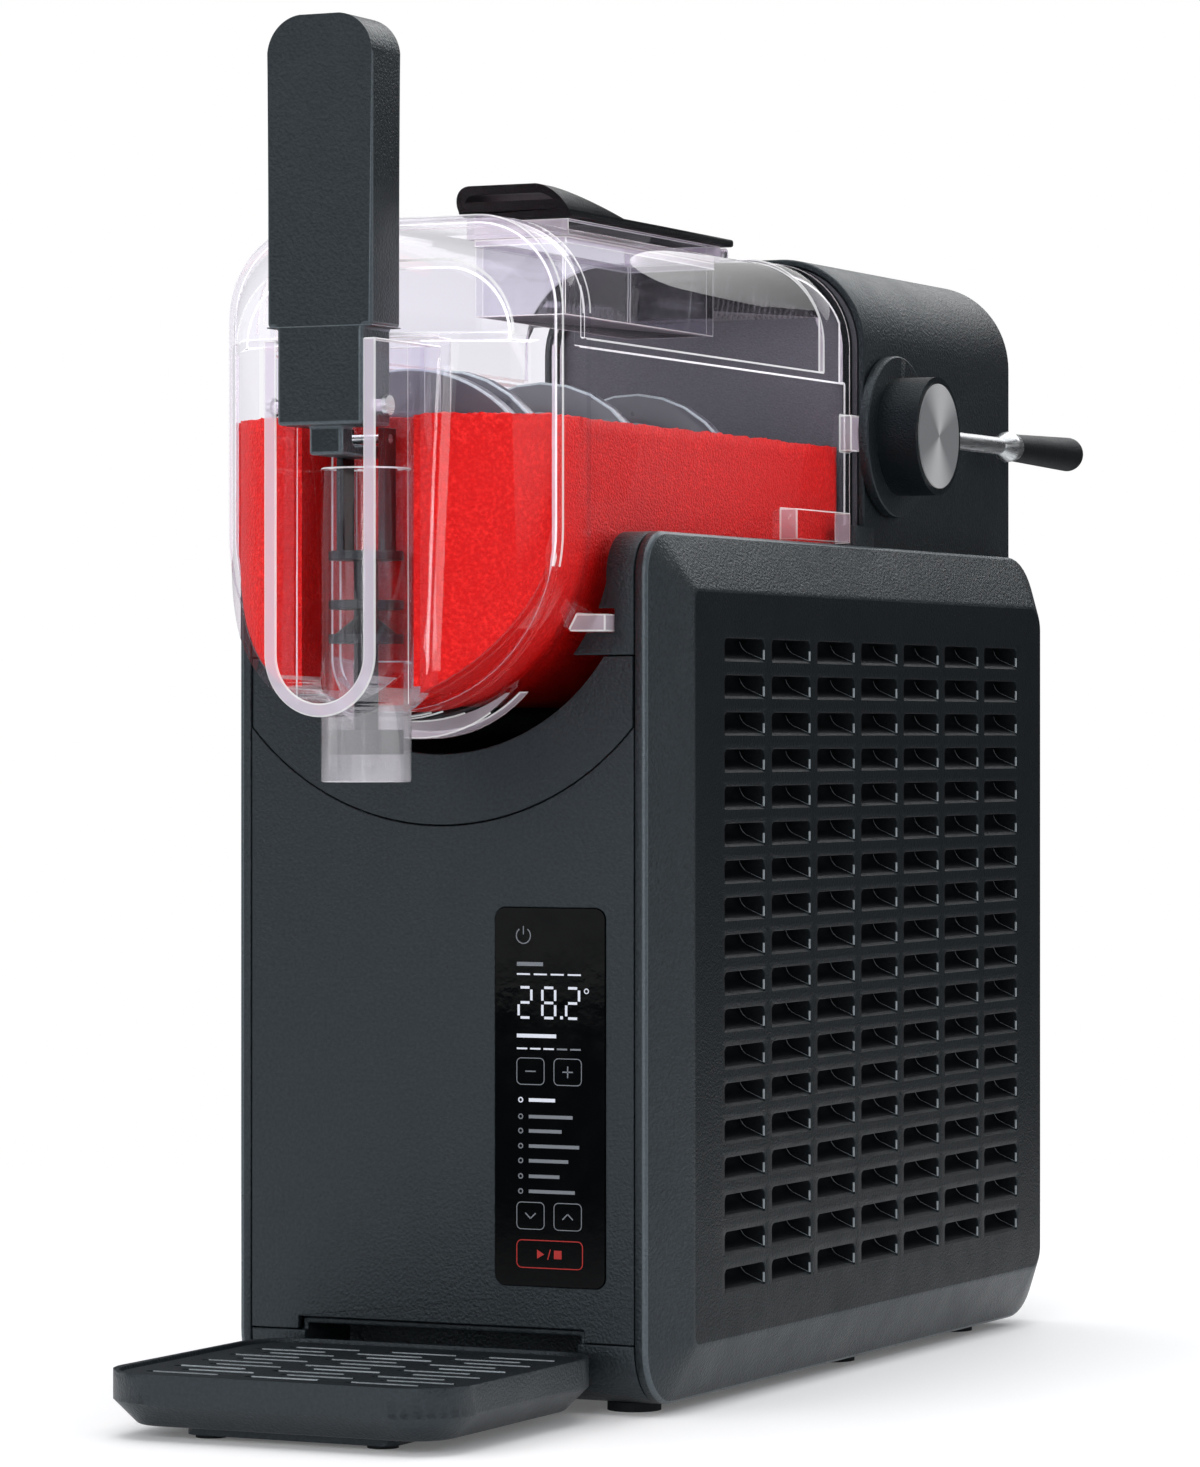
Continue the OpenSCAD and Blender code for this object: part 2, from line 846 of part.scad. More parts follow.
module drive_shaft() {
    back = bulkhead_y + bulkhead_t + shaft_in;
    color(steel) placed() bar_y(auger_front - shaft_end, back, 0, axis_z, shaft_d / 2);
}

module shaft_bush() {
    color("#b08d57") placed() difference() {
        bar_y(drum_front + drum_wall, drum_front + drum_wall + 16, 0, axis_z, shaft_d / 2 + 4);
        bar_y(drum_front, drum_front + drum_wall + 20, 0, axis_z, shaft_d / 2 + run);
    }
}

module evaporator_drum() {
    back = bulkhead_y;
    color("#3a3a40") placed() difference() {
        bar_y(drum_front, back, 0, axis_z, drum_r);
        bar_y(drum_front + drum_wall, back + 1, 0, axis_z, drum_r - drum_wall);
        bar_y(drum_front - 1, back, 0, axis_z, shaft_d / 2 + gap);
    }
}

// Sweeps a section of (radius, along) points round the auger's axis as a helix, starting at y0
module helix(section, y0, length, pitch, per_turn) {
    count = len(section);
    steps = ceil(per_turn * length / pitch);
    points = [
        for (i = [0 : steps], p = section)
            let(a = 360 * length / pitch * i / steps)
            [p[0] * cos(a), y0 + length * i / steps + p[1], axis_z + p[0] * sin(a)]
    ];
    sides = [
        for (i = [0 : steps - 1], j = [0 : count - 1], half = [0, 1])
            let(a = i * count + j, b = i * count + (j + 1) % count)
            half == 0 ? [a, b + count, b] : [a, a + count, b + count]
    ];
    start = [[for (j = [0 : count - 1]) j]];
    end = [[for (j = [count - 1 : -1 : 0]) steps * count + j]];
    polyhedron(points, concat(sides, start, end));
}

module evaporator_coil() {
    length = bulkhead_y - drum_front - 60;
    middle = drum_r - drum_wall - coil_d / 2 - seat;
    section = [for (i = [0 : 7]) [middle, 0] + coil_d / 2 * [cos(45 * i), sin(45 * i)]];
    color("#b87333") placed() helix(section, drum_front + 30, length, coil_pitch, 16);
}

module auger() {
    first = auger_front + auger_disc_t / 2;
    length = bulkhead_y - 8 - blade_t - first;
    inner = drum_r + 0.8;
    section = [[inner, 0], [auger_r, 0], [auger_r, blade_t], [inner, blade_t]];
    color("#54545c") placed() {
        difference() {
            bar_y(auger_front, auger_front + auger_disc_t, 0, axis_z, auger_r - 1);
            bar_y(auger_front - 1, auger_front + auger_disc_t + 1, 0, axis_z, shaft_d / 2 + run);
        }
        helix(section, first, length, auger_pitch, 32);
    }
}

module auger_cap() {
    color(black) placed() difference() {
        bar_y(auger_front - cap_l, auger_front - seat, 0, axis_z, cap_r);
        bar_y(auger_front - shaft_end - seat, auger_front, 0, axis_z, shaft_d / 2 + run);
    }
}

module refrigerant_lines() {
    up_x = -comp_r / 2;
    top = comp_low + comp_h;
    high = top + 10;
    turn_y = cond_y + cond_d + line_out;
    color("#b87333") placed() {
        translate([up_x, comp_y, top]) cylinder(r = line_r, h = high - top);
        bar_y(turn_y, comp_y, up_x, high, line_r);
        bar_x(up_x, cond_row, turn_y, high, line_r);
        translate([cond_row, turn_y, cond_first]) cylinder(r = line_r, h = high - cond_first);
        bar_y(cond_y + cond_d + cond_bend, turn_y, cond_row, cond_first, line_r);
        for (p = [[up_x, comp_y, high], [up_x, turn_y, high], [cond_row, turn_y, high]])
            translate(p) sphere(line_r);
        translate([cond_row, turn_y, cond_first]) sphere(line_r);
    }
}

module power_inlet() {
    depth = 22;
    color(black) placed() difference() {
        union() {
            block([-inlet_w / 2, body_d - depth, inlet_z], [inlet_w / 2, body_d, inlet_z + inlet_h]);
            block(
                [-inlet_w / 2 - 4, body_d - skin - 2 - seat, inlet_z - 4],
                [inlet_w / 2 + 4, body_d - skin - seat, inlet_z + inlet_h + 4]
            );
        }
        block(
            [-inlet_w / 2 + 3, body_d - depth + 4, inlet_z + 3],
            [inlet_w / 2 - 3, body_d + 1, inlet_z + inlet_h - 3]
        );
    }
    color(steel) placed() for (k = [-1 : 1])
        translate([k * prong_x, body_d, inlet_z + inlet_h / 2 - (k == 0 ? 0 : prong_h)])
            block([-prong_t / 2, -depth + 3, 0], [prong_t / 2, -prong_in, prong_h]);
}

module rear_screws() {
    color(steel) placed() for (x = [-x_panel + 9, x_panel - 9], z = [base_h + 16, 140, seam_z - 12])
        difference() {
            bar_y(body_d, body_d + screw_t, x, z, screw_r);
            for (a = [0, 90])
                translate([x, body_d + screw_t, z]) rotate([0, a, 0])
                    cube([1.2 * screw_r, 0.9 * screw_t, 0.5 * screw_t], center = true);
        }
}

// Front outline of the vessel in (x, z): a round trough, upright sides and an arched top
module vessel_outline(half, high, r) {
    translate([0, axis_z]) circle(half);
    translate([-half, axis_z]) square([2 * half, high - r]);
    translate([-half + r, axis_z]) square([2 * (half - r), high]);
    for (x = [-half + r, half - r]) translate([x, axis_z + high - r]) circle(r);
}

// The same with the upper window set in above the ledge
module barrel_outline(inset = 0) {
    half = barrel_r - inset;
    intersection() {
        vessel_outline(half, barrel_top - inset, arch_r - inset);
        union() {
            translate([-half, 0]) square([2 * half, ledge_z - inset]);
            translate([-half + window_in, 0]) square([2 * (half - window_in), axis_z + barrel_top]);
        }
    }
}

// Half of the nose's bowed plan, from the hood's front edge to the tap housing
module nose_plan(inset = 0) {
    x1 = nose_r;
    y1 = hood_y;
    x0 = tap_x - 1;
    y0 = -nose_front;
    dx = x1 - x0;
    dy = y1 - y0;
    chord = sqrt(dx * dx + dy * dy);
    rise = sqrt(nose_bow * nose_bow - chord * chord / 4);
    cx = (x0 + x1) / 2 - rise * dy / chord;
    cy = (y0 + y1) / 2 + rise * dx / chord;
    intersection() {
        translate([0, -nose_front]) square([nose_r - inset, nose_front + hood_back]);
        union() {
            intersection() {
                translate([cx, cy]) circle(nose_bow - inset, $fn = 160);
                translate([0, -nose_front]) square([nose_r, nose_front + hood_y]);
            }
            translate([0, hood_y]) square([nose_r, hood_band]);
            translate([0, -nose_front + inset]) square([x0, nose_front - hood_front]);
        }
    }
}

// Nose below the ledge, outer form or cavity
module nose_solid(inset = 0) {
    both_sides() intersection() {
        along_y(-nose_front, hood_y + 1) difference() {
            vessel_outline(nose_r - inset, lip_top, lip_arch_r);
            translate([-hood_r, ledge_z - inset]) square([2 * hood_r, barrel_top]);
        }
        linear_extrude(ledge_z) nose_plan(inset);
    }
}

// Arched hood front above the ledge, sloping from the band to the front arch
module hood_front_solid(inset = 0) {
    low = ledge_h - 1;
    intersection() {
        hull() {
            along_y(hood_y - eps, hood_y + 1)
                vessel_outline(lip_r - inset, lip_top - inset, lip_arch_r - inset, $fn = hood_fn);
            along_y(front_arch_y + inset, front_arch_y + inset + 1)
                vessel_outline(
                    front_arch_x - inset, front_arch_top - inset, front_arch_r - inset, $fn = hood_fn
                );
        }
        block([-100, front_arch_y, axis_z + low - inset], [100, hood_y + 1, axis_z + 200]);
    }
}

// Outer form of the vessel
module vessel_form() {
    along_y(hood_y, hood_back) vessel_outline(hood_r, hood_top, arch_r);
    along_y(hood_back - 1, collar_y + 1) barrel_outline();
    along_y(collar_y, vessel_back) vessel_outline(barrel_r, collar_top, arch_r);
    nose_solid();
    hood_front_solid();
}

// Cavity of the vessel
module vessel_cavity() {
    along_y(hood_y, hood_back) vessel_outline(hood_r - clear_t, hood_top - clear_t, arch_r - clear_t);
    along_y(hood_back - 1, vessel_back + 1) barrel_outline(clear_t);
    nose_solid(clear_t);
    hood_front_solid(clear_t);
}

// Space that the tap housing takes in the nose, grown by a distance
module tap_space(grow = 0) {
    block(
        [-tap_x - grow, -tap_front - 1, tap_low - 40],
        [tap_x + grow, -tap_back + grow, tap_top + grow]
    );
}

module vessel() {
    color(clear) placed() difference() {
        union() {
            difference() {
                vessel_form();
                difference() {
                    vessel_cavity();
                    tap_space(slot_wall);
                }
            }
            difference() {
                along_y(skirt_y, skirt_y + skirt_t) skirt_outline();
                along_y(skirt_y - 1, skirt_y + skirt_t + 1) translate([0, axis_z]) circle(hood_r - 1);
                along_y(skirt_y + clear_t, skirt_y + skirt_t + 1) skirt_outline(-clear_t);
            }
            both_sides() block(
                [foot_lug_in, -foot_lug_reach, notch_low + seat],
                [foot_lug_x, notch_depth - 2, foot_lug_top]
            );
            block(
                [barrel_r - 1, side_lug_y, side_lug_z],
                [barrel_r + side_lug_w, side_lug_y + side_lug_l, side_lug_z + side_lug_h]
            );
            block(
                [barrel_r - 1, vessel_back - hook_w, lock_z - hook_h / 2],
                [flange_in - gap, vessel_back, lock_z + hook_h / 2]
            );
            both_sides() translate([hinge_x, 0, 0]) difference() {
                union() {
                    bar_x(0, lug_t, hinge_y, hinge_z, hinge_r);
                    block(
                        [0, hinge_y - hinge_r, axis_z + collar_top - 1],
                        [lug_t, hinge_y + hinge_r, hinge_z]
                    );
                }
                bar_x(-1, lug_t + 1, hinge_y, hinge_z, hinge_pin_r + run);
            }
        }
        tap_space();
        block([-fill_x, fill_front, top_z - 20], [fill_x, fill_back, top_z + 1]);
        block(
            [-port_w / 2, -tap_back - 1, port_low],
            [port_w / 2, -tap_back + slot_wall + 1, port_low + port_h]
        );
    }
}

module vessel_gasket() {
    color("#2c2d30") placed() along_y(vessel_back, vessel_back + gasket_t) difference() {
        vessel_outline(barrel_r, collar_top, arch_r);
        vessel_outline(barrel_r - 3, collar_top - 3, arch_r - 3);
    }
}

// Front outline of the tap housing in (x, z): a channel with a round foot
module tap_outline(half, high) {
    low = tap_low + tap_x;
    translate([0, low]) circle(half);
    translate([-half, low]) square([2 * half, high - low]);
}

module tap_housing() {
    color(clear) placed() difference() {
        union() {
            difference() {
                along_y(-tap_front, -tap_back) tap_outline(tap_x, tap_top);
                along_y(-tap_front - 1, -tap_back - clear_t) tap_outline(tap_x - tap_wall, tap_top + 1);
            }
            intersection() {
                translate([0, -tube_y, spout_low]) cylinder(r = tube_r, h = tube_top - spout_low);
                block([-tap_x, -tap_front, 0], [tap_x, -tap_back, tap_top]);
            }
        }
        translate([0, -tube_y, spout_low - 1]) cylinder(r = bore_r, h = tap_top);
        block([-port_w / 2, -tube_y, port_low], [port_w / 2, -tap_back + 1, port_low + port_h]);
        bar_x(-tap_x - 1, tap_x + 1, pin_y, pin_z, pin_r + run);
    }
}

module handle_pin() {
    color(steel) placed() {
        bar_x(-tap_x, tap_x, pin_y, pin_z, pin_r);
        both_sides() bar_x(tap_x, tap_x + pin_head_t, pin_y, pin_z, pin_head_r);
    }
}

module fill_funnel() {
    rim_low = top_z;
    rim_high = lid_low - seat;
    in_x = fill_x - seat - funnel_t;
    color(clear) placed() difference() {
        union() {
            block(
                [-fill_x + seat, fill_front + seat, funnel_low],
                [fill_x - seat, fill_back - seat, rim_high]
            );
            block(
                [-fill_x - rim_out, fill_front - rim_out, rim_low],
                [fill_x + rim_out, collar_y - seat, rim_high]
            );
        }
        block(
            [-in_x, fill_front + seat + funnel_t, funnel_low - 1],
            [in_x, fill_back - seat - funnel_t, rim_high + 1]
        );
    }
}

module lid_pin() {
    color(steel) placed() bar_x(-hinge_x - lug_t, hinge_x + lug_t, hinge_y, hinge_z, hinge_pin_r);
}

// Side outline of the lid in (y, z)
module lid_side(inset = 0) {
    rear = hinge_y + 0.5;
    ramp_y = lid_y + lid_lip + lid_ramp;
    polygon([
        [rear, lid_low],
        [rear, lid_flat - inset],
        [ramp_y, lid_flat - inset],
        [lid_y + lid_lip, lid_top - inset],
        [lid_y + inset, lid_top - inset],
        [lid_y + lid_undercut + inset, lid_low]
    ]);
}

// The lid's block in full or as its hollow, with the grip's upper corners round
module lid_block(inset = 0, low = 0) {
    half = lid_x - inset;
    top = lid_top - inset;
    difference() {
        along_x(-half, half) translate([0, low]) lid_side(inset);
        along_y(lid_y - 1, hinge_y - 60) {
            corner_waste(-half, top + low, 1, -1, lid_corner - inset);
            corner_waste(half, top + low, -1, -1, lid_corner - inset);
        }
    }
}

module fill_lid() {
    knuckle_x = hinge_x - gap;
    color(black) placed() difference() {
        union() {
            difference() {
                lid_block();
                difference() {
                    lid_block(skin, -0.4);
                    block([-lid_x, lid_y + lid_lip + lid_ramp - 12, 0], [lid_x, hinge_y + 9, lid_top]);
                }
            }
            bar_x(-knuckle_x, knuckle_x, hinge_y, hinge_z, hinge_r);
            block([-knuckle_x, hinge_y - hinge_r, hinge_z], [knuckle_x, hinge_y + 0.5, lid_low + 0.5]);
        }
        bar_x(-lid_x, lid_x, hinge_y, hinge_z, hinge_pin_r + run);
    }
}

module tap_handle() {
    neck = handle_neck / 2;
    arm_y = -tap_front + arm_t;
    arm_low = arm_top - arm_t;
    color(charcoal) placed() difference() {
        union() {
            along_y(-tap_front, handle_back) {
                difference() {
                    round_rect(-handle_w / 2, handle_w / 2, handle_seam - 40, handle_top, handle_r);
                    translate([-50, handle_seam - 60]) square([100, 60]);
                }
                translate([-neck, handle_low]) square([2 * neck, handle_seam - handle_low + 1]);
            }
            block([-arm_w / 2, arm_y, arm_low], [arm_w / 2, arm_y + 2 * arm_t, handle_low + 1]);
            block([-arm_w / 2, arm_y, arm_low], [arm_w / 2, arm_end - arm_t / 2, arm_top]);
            bar_x(-arm_w / 2, arm_w / 2, arm_end - arm_t / 2, arm_top - arm_t / 2, arm_t / 2);
        }
        bar_x(-handle_w, handle_w, pin_y, pin_z, pin_r + run);
    }
}

module plunger() {
    top_flange = axis_z + flange_z[0];
    cheek_top = lift_pin_z + lift_pin_r + 2;
    cheek_out = cheek_x + cheek_t;
    plug_top = plug_low + plug_h;
    color(black) placed() translate([0, -tube_y, 0]) {
        difference() {
            both_sides() block([cheek_x, -cheek_w / 2, top_flange], [cheek_out, cheek_w / 2, cheek_top]);
            bar_x(-cheek_out - 1, cheek_out + 1, 0, lift_pin_z, lift_pin_r + run);
        }
        translate([0, 0, plug_top]) cylinder(r = rod_r, h = top_flange - plug_top + 1);
        for (z = flange_z) translate([0, 0, axis_z + z]) cylinder(r = plunger_r, h = seal_t);
        translate([0, 0, axis_z + seal_z + seal_t]) cylinder(r1 = plunger_r - 2, r2 = rod_r, h = 5);
    }
}

module plunger_pin() {
    end = cheek_x + cheek_t;
    color(steel) placed() bar_x(-end, end, -tube_y, lift_pin_z, lift_pin_r);
}

module plunger_seals() {
    color("#1b1c1e") placed() translate([0, -tube_y, 0]) {
        translate([0, 0, axis_z + seal_z]) difference() {
            cylinder(r = plunger_r, h = seal_t);
            translate([0, 0, -1]) cylinder(r = rod_r, h = seal_t + 2);
        }
        translate([0, 0, plug_low]) cylinder(r = plunger_r, h = plug_h);
    }
}

module lock_flange() {
    color(charcoal) placed() difference() {
        bar_x(flange_in, flange_in + flange_t, lock_y, lock_z, flange_d / 2);
        bar_x(0, body_w, lock_y, lock_z, spindle_r + run);
    }
}

module lock_hub() {
    base = flange_in + flange_t;
    color(charcoal) placed() difference() {
        bar_x(base, hub_face, lock_y, lock_z, hub_d / 2);
        bar_x(base - 1, hub_face - 5, lock_y, lock_z, spindle_r + run);
        bar_y(lock_y, lock_y + hub_d, lever_x, lock_z, rod_d / 2 + run);
    }
}

module lock_disc() {
    color(steel) placed() bar_x(hub_face, hub_face + disc_t, lock_y, lock_z, disc_d / 2);
}

module lock_spindle() {
    inner = tower_w / 2 - skin - gap;
    color(steel) placed() {
        bar_x(inner - cam_t, lever_x - rod_d / 2 - 1, lock_y, lock_z, spindle_r);
        bar_x(inner - cam_t, inner, lock_y + 4, lock_z, cam_r);
    }
}

module lever_rod() {
    color(steel) placed() bar_y(lock_y + spindle_r, lock_y + ferrule_y, lever_x, lock_z, rod_d / 2);
}

module lever_ferrule() {
    color(steel) placed() translate([lever_x, lock_y + ferrule_y, lock_z]) rotate([-90, 0, 0]) {
        cylinder(d1 = rod_d, d2 = ferrule_d, h = ferrule_l - ferrule_tail);
        translate([0, 0, ferrule_l - ferrule_tail])
            cylinder(d1 = ferrule_d, d2 = grip_d - 2.5, h = ferrule_tail);
    }
}

module lever_grip() {
    length = lever_l - grip_start;
    round_l = grip_d / 4;
    wide = grip_d / 2;
    straight = length - round_l;
    place = [lever_x, lock_y + grip_start, lock_z];
    color(black) placed() translate(place) rotate([-90, 0, 0]) rotate_extrude() {
        polygon([[0, 0], [wide - grip_taper, 0], [wide, straight], [0, straight]]);
        translate([wide - round_l, straight]) intersection() {
            circle(round_l);
            translate([-round_l, 0]) square(2 * round_l);
        }
        square([wide - round_l, length]);
    }
}

module condensation_catch() {
    pan_in = catch_pan_r;
    pan_out = catch_pan_r + catch_pan_t;
    color(charcoal) placed() {
        along_y(0, skin) difference() {
            catch_outline(0);
            saddle_outline();
            skirt_outline(catch_gap);
            translate([0, axis_z]) circle(catch_cut_r);
        }
        along_y(skin, skin + catch_pan_d) intersection() {
            difference() {
                translate([0, axis_z]) circle(pan_out);
                translate([0, axis_z]) circle(pan_in);
            }
            translate([-catch_pan_x, 0]) square([2 * catch_pan_x, axis_z]);
        }
        both_sides() block(
            [runner_x, skin, saddle_floor + seat],
            [runner_x + catch_pan_t, skin + catch_pan_d, axis_z - catch_pan_r + catch_pan_t / 2]
        );
    }
}

// Outline of the tray in plan, moved in by a distance
module tray_plan(inset = 0) {
    round_rect(-tray_x + inset, tray_x - inset, -tray_reach + inset, tray_back - inset, tray_r - inset);
}

module drip_tray() {
    brim = tray_low + tray_slope;
    color(charcoal) placed() {
        difference() {
            union() {
                hull() {
                    translate([0, 0, tray_low]) linear_extrude(0.02) tray_plan(tray_slope, $fn = hull_fn);
                    translate([0, 0, brim]) linear_extrude(0.02) tray_plan($fn = hull_fn);
                }
                translate([0, 0, brim]) linear_extrude(tray_h - brim) tray_plan($fn = hull_fn);
            }
            translate([0, 0, tray_low + tray_t + 2]) linear_extrude(tray_h) tray_plan(tray_slope);
            translate([0, 0, brim + 1]) linear_extrude(tray_h) tray_plan(tray_t + grate_seat);
            translate([0, 0, grate_z - grate_t - seat]) linear_extrude(tray_h) tray_plan(tray_t);
        }
        block([-tongue_x, tray_back - 1, tongue_low], [tongue_x, tongue_l, tongue_low + tongue_t]);
        translate([0, 0, pad_h]) linear_extrude(tray_low - pad_h + eps) round_rect(
            -tray_x + plinth_x, tray_x - plinth_x, -tray_reach + plinth_y, tray_back - plinth_y, 6
        );
    }
}

module tray_pads() {
    x = tray_x - plinth_x - 7;
    color(black) placed() for (y = [-tray_reach + plinth_y + 7, tray_back - plinth_y - 7])
        both_sides() translate([x, y, 0]) cylinder(d = pad_d, h = pad_h);
}

module drip_grate() {
    rows = floor((tray_reach + tray_back - 2 * tray_t - 24) / slot_pitch_y) + 1;
    first = (-tray_reach + tray_back) / 2 - (rows - 1) * slot_pitch_y / 2;
    color(charcoal) placed() difference() {
        translate([0, 0, grate_z - grate_t]) linear_extrude(grate_t) tray_plan(tray_t + gap);
        for (i = [0 : rows - 1], k = [-1 : 1])
            let(shift = i % 2 == 0 ? -slot_stagger : slot_stagger)
            translate([k * slot_pitch_x + shift, first + i * slot_pitch_y, 0])
                linear_extrude(tray_h) {
                    square([slot_l - slot_w, slot_w], center = true);
                    for (s = [-1, 1]) translate([s * (slot_l - slot_w) / 2, 0]) circle(d = slot_w);
                }
    }
}

module slush() {
    out = clear_t + seat;
    color(red) placed() difference() {
        intersection() {
            union() {
                along_y(hood_y, hood_back) vessel_outline(hood_r - out, hood_top, arch_r);
                along_y(hood_back - 1, tower_y - 8) vessel_outline(barrel_r - out, barrel_top, arch_r);
                nose_solid(out);
            }
            block([-2 * barrel_r, -2 * tap_front, 0], [2 * barrel_r, tower_y, slush_z]);
        }
        tap_space(slot_wall + seat);
        bar_y(auger_front - 1, tower_y, 0, axis_z, auger_r + gap);
        bar_y(auger_front - cap_l - 1, auger_front, 0, axis_z, cap_r + gap);
    }
}

base_pan();
front_panel();
top_deck();
saddle_trough();
bulkhead();
rear_panel();
side_cover_right();
side_cover_left();
drive_tower();
rubber_feet();
control_glass();
control_board();
compressor();
compressor_grommets();
condenser();
fan_shroud();
fan_blade();
fan_motor();
gear_motor();
drive_shaft();
shaft_bush();
evaporator_drum();
evaporator_coil();
auger();
auger_cap();
refrigerant_lines();
power_inlet();
rear_screws();
vessel();
vessel_gasket();
tap_housing();
handle_pin();
fill_funnel();
lid_pin();
fill_lid();
tap_handle();
plunger();
plunger_pin();
plunger_seals();
lock_flange();
lock_hub();
lock_disc();
lock_spindle();
lever_rod();
lever_ferrule();
lever_grip();
condensation_catch();
drip_tray();
tray_pads();
drip_grate();
slush();
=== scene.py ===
"""Looks of a countertop slush machine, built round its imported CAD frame."""

import json
import logging
import math
from contextlib import contextmanager
from dataclasses import dataclass, field
from enum import Enum
from typing import Iterable, Iterator, Optional, Sequence

import bmesh
import bpy
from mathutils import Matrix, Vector, noise

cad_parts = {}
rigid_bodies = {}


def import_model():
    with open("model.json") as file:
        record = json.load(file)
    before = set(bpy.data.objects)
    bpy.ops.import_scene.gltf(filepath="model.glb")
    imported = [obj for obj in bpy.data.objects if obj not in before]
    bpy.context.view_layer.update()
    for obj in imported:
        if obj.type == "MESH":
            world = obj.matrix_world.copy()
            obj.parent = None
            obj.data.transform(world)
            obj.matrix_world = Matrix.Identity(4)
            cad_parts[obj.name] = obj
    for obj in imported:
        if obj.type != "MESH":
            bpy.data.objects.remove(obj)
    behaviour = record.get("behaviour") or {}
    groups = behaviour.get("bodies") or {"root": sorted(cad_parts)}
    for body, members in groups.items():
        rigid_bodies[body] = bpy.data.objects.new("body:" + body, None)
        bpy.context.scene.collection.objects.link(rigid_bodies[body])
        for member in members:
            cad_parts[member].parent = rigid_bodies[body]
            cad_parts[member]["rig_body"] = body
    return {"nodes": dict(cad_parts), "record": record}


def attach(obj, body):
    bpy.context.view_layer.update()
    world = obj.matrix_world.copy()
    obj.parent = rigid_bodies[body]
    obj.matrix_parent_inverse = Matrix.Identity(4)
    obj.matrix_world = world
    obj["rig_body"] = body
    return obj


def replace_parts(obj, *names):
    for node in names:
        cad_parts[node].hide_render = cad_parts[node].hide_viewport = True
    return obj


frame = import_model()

logging.basicConfig(level=logging.INFO, format="%(message)s")
LOG = logging.getLogger("slush_machine")

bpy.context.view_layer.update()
SLOTS = {part["node"]: part["material_slot"] for part in frame["record"]["subparts"]}

MM = 0.001
MID_Y = 131.25  # mm from the front panel back to the frame's origin
AXIS_Z = 291.0  # mm from the counter up to the drum's axis
HOOD_Z = 350.0  # mm up to the middle of the hood's arch
WELD = 2e-6  # metres within which the loose corners of a CAD node are one
SMOOTH = 35.0  # degrees below which an edge is shaded smooth
NOISE_RANGE = {"From_Min": 0.3, "From_Max": 0.7}  # where most values of a noise lie
COLOURS = {"data_type": "RGBA"}  # makes a mix node mix colours

Point = tuple[float, float, float]
Flat = tuple[float, float]
Box = tuple[Point, Point]
Strokes = list[list[Flat]]
BMesh = bmesh.types.BMesh
Mesh = bpy.types.Mesh
Node = bpy.types.Node
Object = bpy.types.Object
Socket = bpy.types.NodeSocket
Tree = bpy.types.NodeTree

# Boxes in mm of the drawing: clear faces there are left out or get a finish of their own.
TAP_WALLS: Box = ((-23.3, -61.0, 200.0), (23.3, -34.0, 353.0))
HOOD_STEP: Box = ((-63.0, -12.3, 215.0), (63.0, -11.7, 402.0))
HOOD_FOOT: Box = ((-70.0, -16.0, 200.0), (70.0, -8.0, 352.0))
NOSE_FOOT: Box = ((-70.0, -75.0, 232.0), (70.0, -8.0, 280.0))
SPOUT: Box = ((-17.0, -75.0, 205.0), (17.0, -30.0, 243.0))


class Body(str, Enum):
    """CAD bodies that new pieces ride on."""

    CHASSIS = "chassis"
    VESSEL = "vessel"


class Ink(Enum):
    """Prints on the control glass."""

    WHITE = "white"
    DIM = "dim"
    RED = "red"


def linear(hex_colour: str) -> tuple[float, float, float, float]:
    """Turns an sRGB hex colour into linear values.

    Args:
        hex_colour: colour such as "#2a2f33".

    Returns:
        Linear red, green, blue and an alpha of one.
    """
    parts = [int(hex_colour[i:i + 2], 16) / 255 for i in (1, 3, 5)]
    rgb = [c / 12.92 if c <= 0.04045 else ((c + 0.055) / 1.055) ** 2.4 for c in parts]
    return rgb[0], rgb[1], rgb[2], 1.0


def place(x: float, y: float, z: float) -> Vector:
    """Puts a point of the machine's drawing, in mm with the front panel at y = 0, into the frame.

    Args:
        x: mm to the right of the middle.
        y: mm behind the front panel.
        z: mm above the counter.

    Returns:
        The point in metres in the CAD frame.
    """
    return Vector((x, y - MID_Y, z)) * MM


def inside(spot: Vector, box: Box) -> bool:
    """Tells whether a point of the frame lies in a box of the drawing."""
    low, high = (place(*corner) for corner in box)
    return all(low[i] < spot[i] < high[i] for i in range(3))


def wire(tree: Tree, node: Node, **inputs: object) -> None:
    """Sets or links inputs of a node.

    Args:
        tree: the node's tree.
        node: the node.
        inputs: input name (underscores for spaces, or in_N for a number) to a value or an output socket.
    """
    for key, value in inputs.items():
        socket = node.inputs[int(key[3:]) if key.startswith("in_") else key.replace("_", " ")]
        if isinstance(value, Socket):
            tree.links.new(value, socket)
        else:
            socket.default_value = value


def add_node(tree: Tree, kind: str, settings: Optional[dict] = None, **inputs: object) -> Node:
    """Adds a node with its settings, socket values and links.

    Args:
        tree: node tree to add to.
        kind: node type name.
        settings: attributes of the node.
        inputs: values and links, as for wire.

    Returns:
        The new node.
    """
    node = tree.nodes.new(kind)
    for key, value in (settings or {}).items():
        setattr(node, key, value)
    wire(tree, node, **inputs)
    return node


def per_metre(size: float) -> float:
    """Turns the size of a pattern's cells in mm into the scale of a noise."""
    return 1.0 / (size * MM)


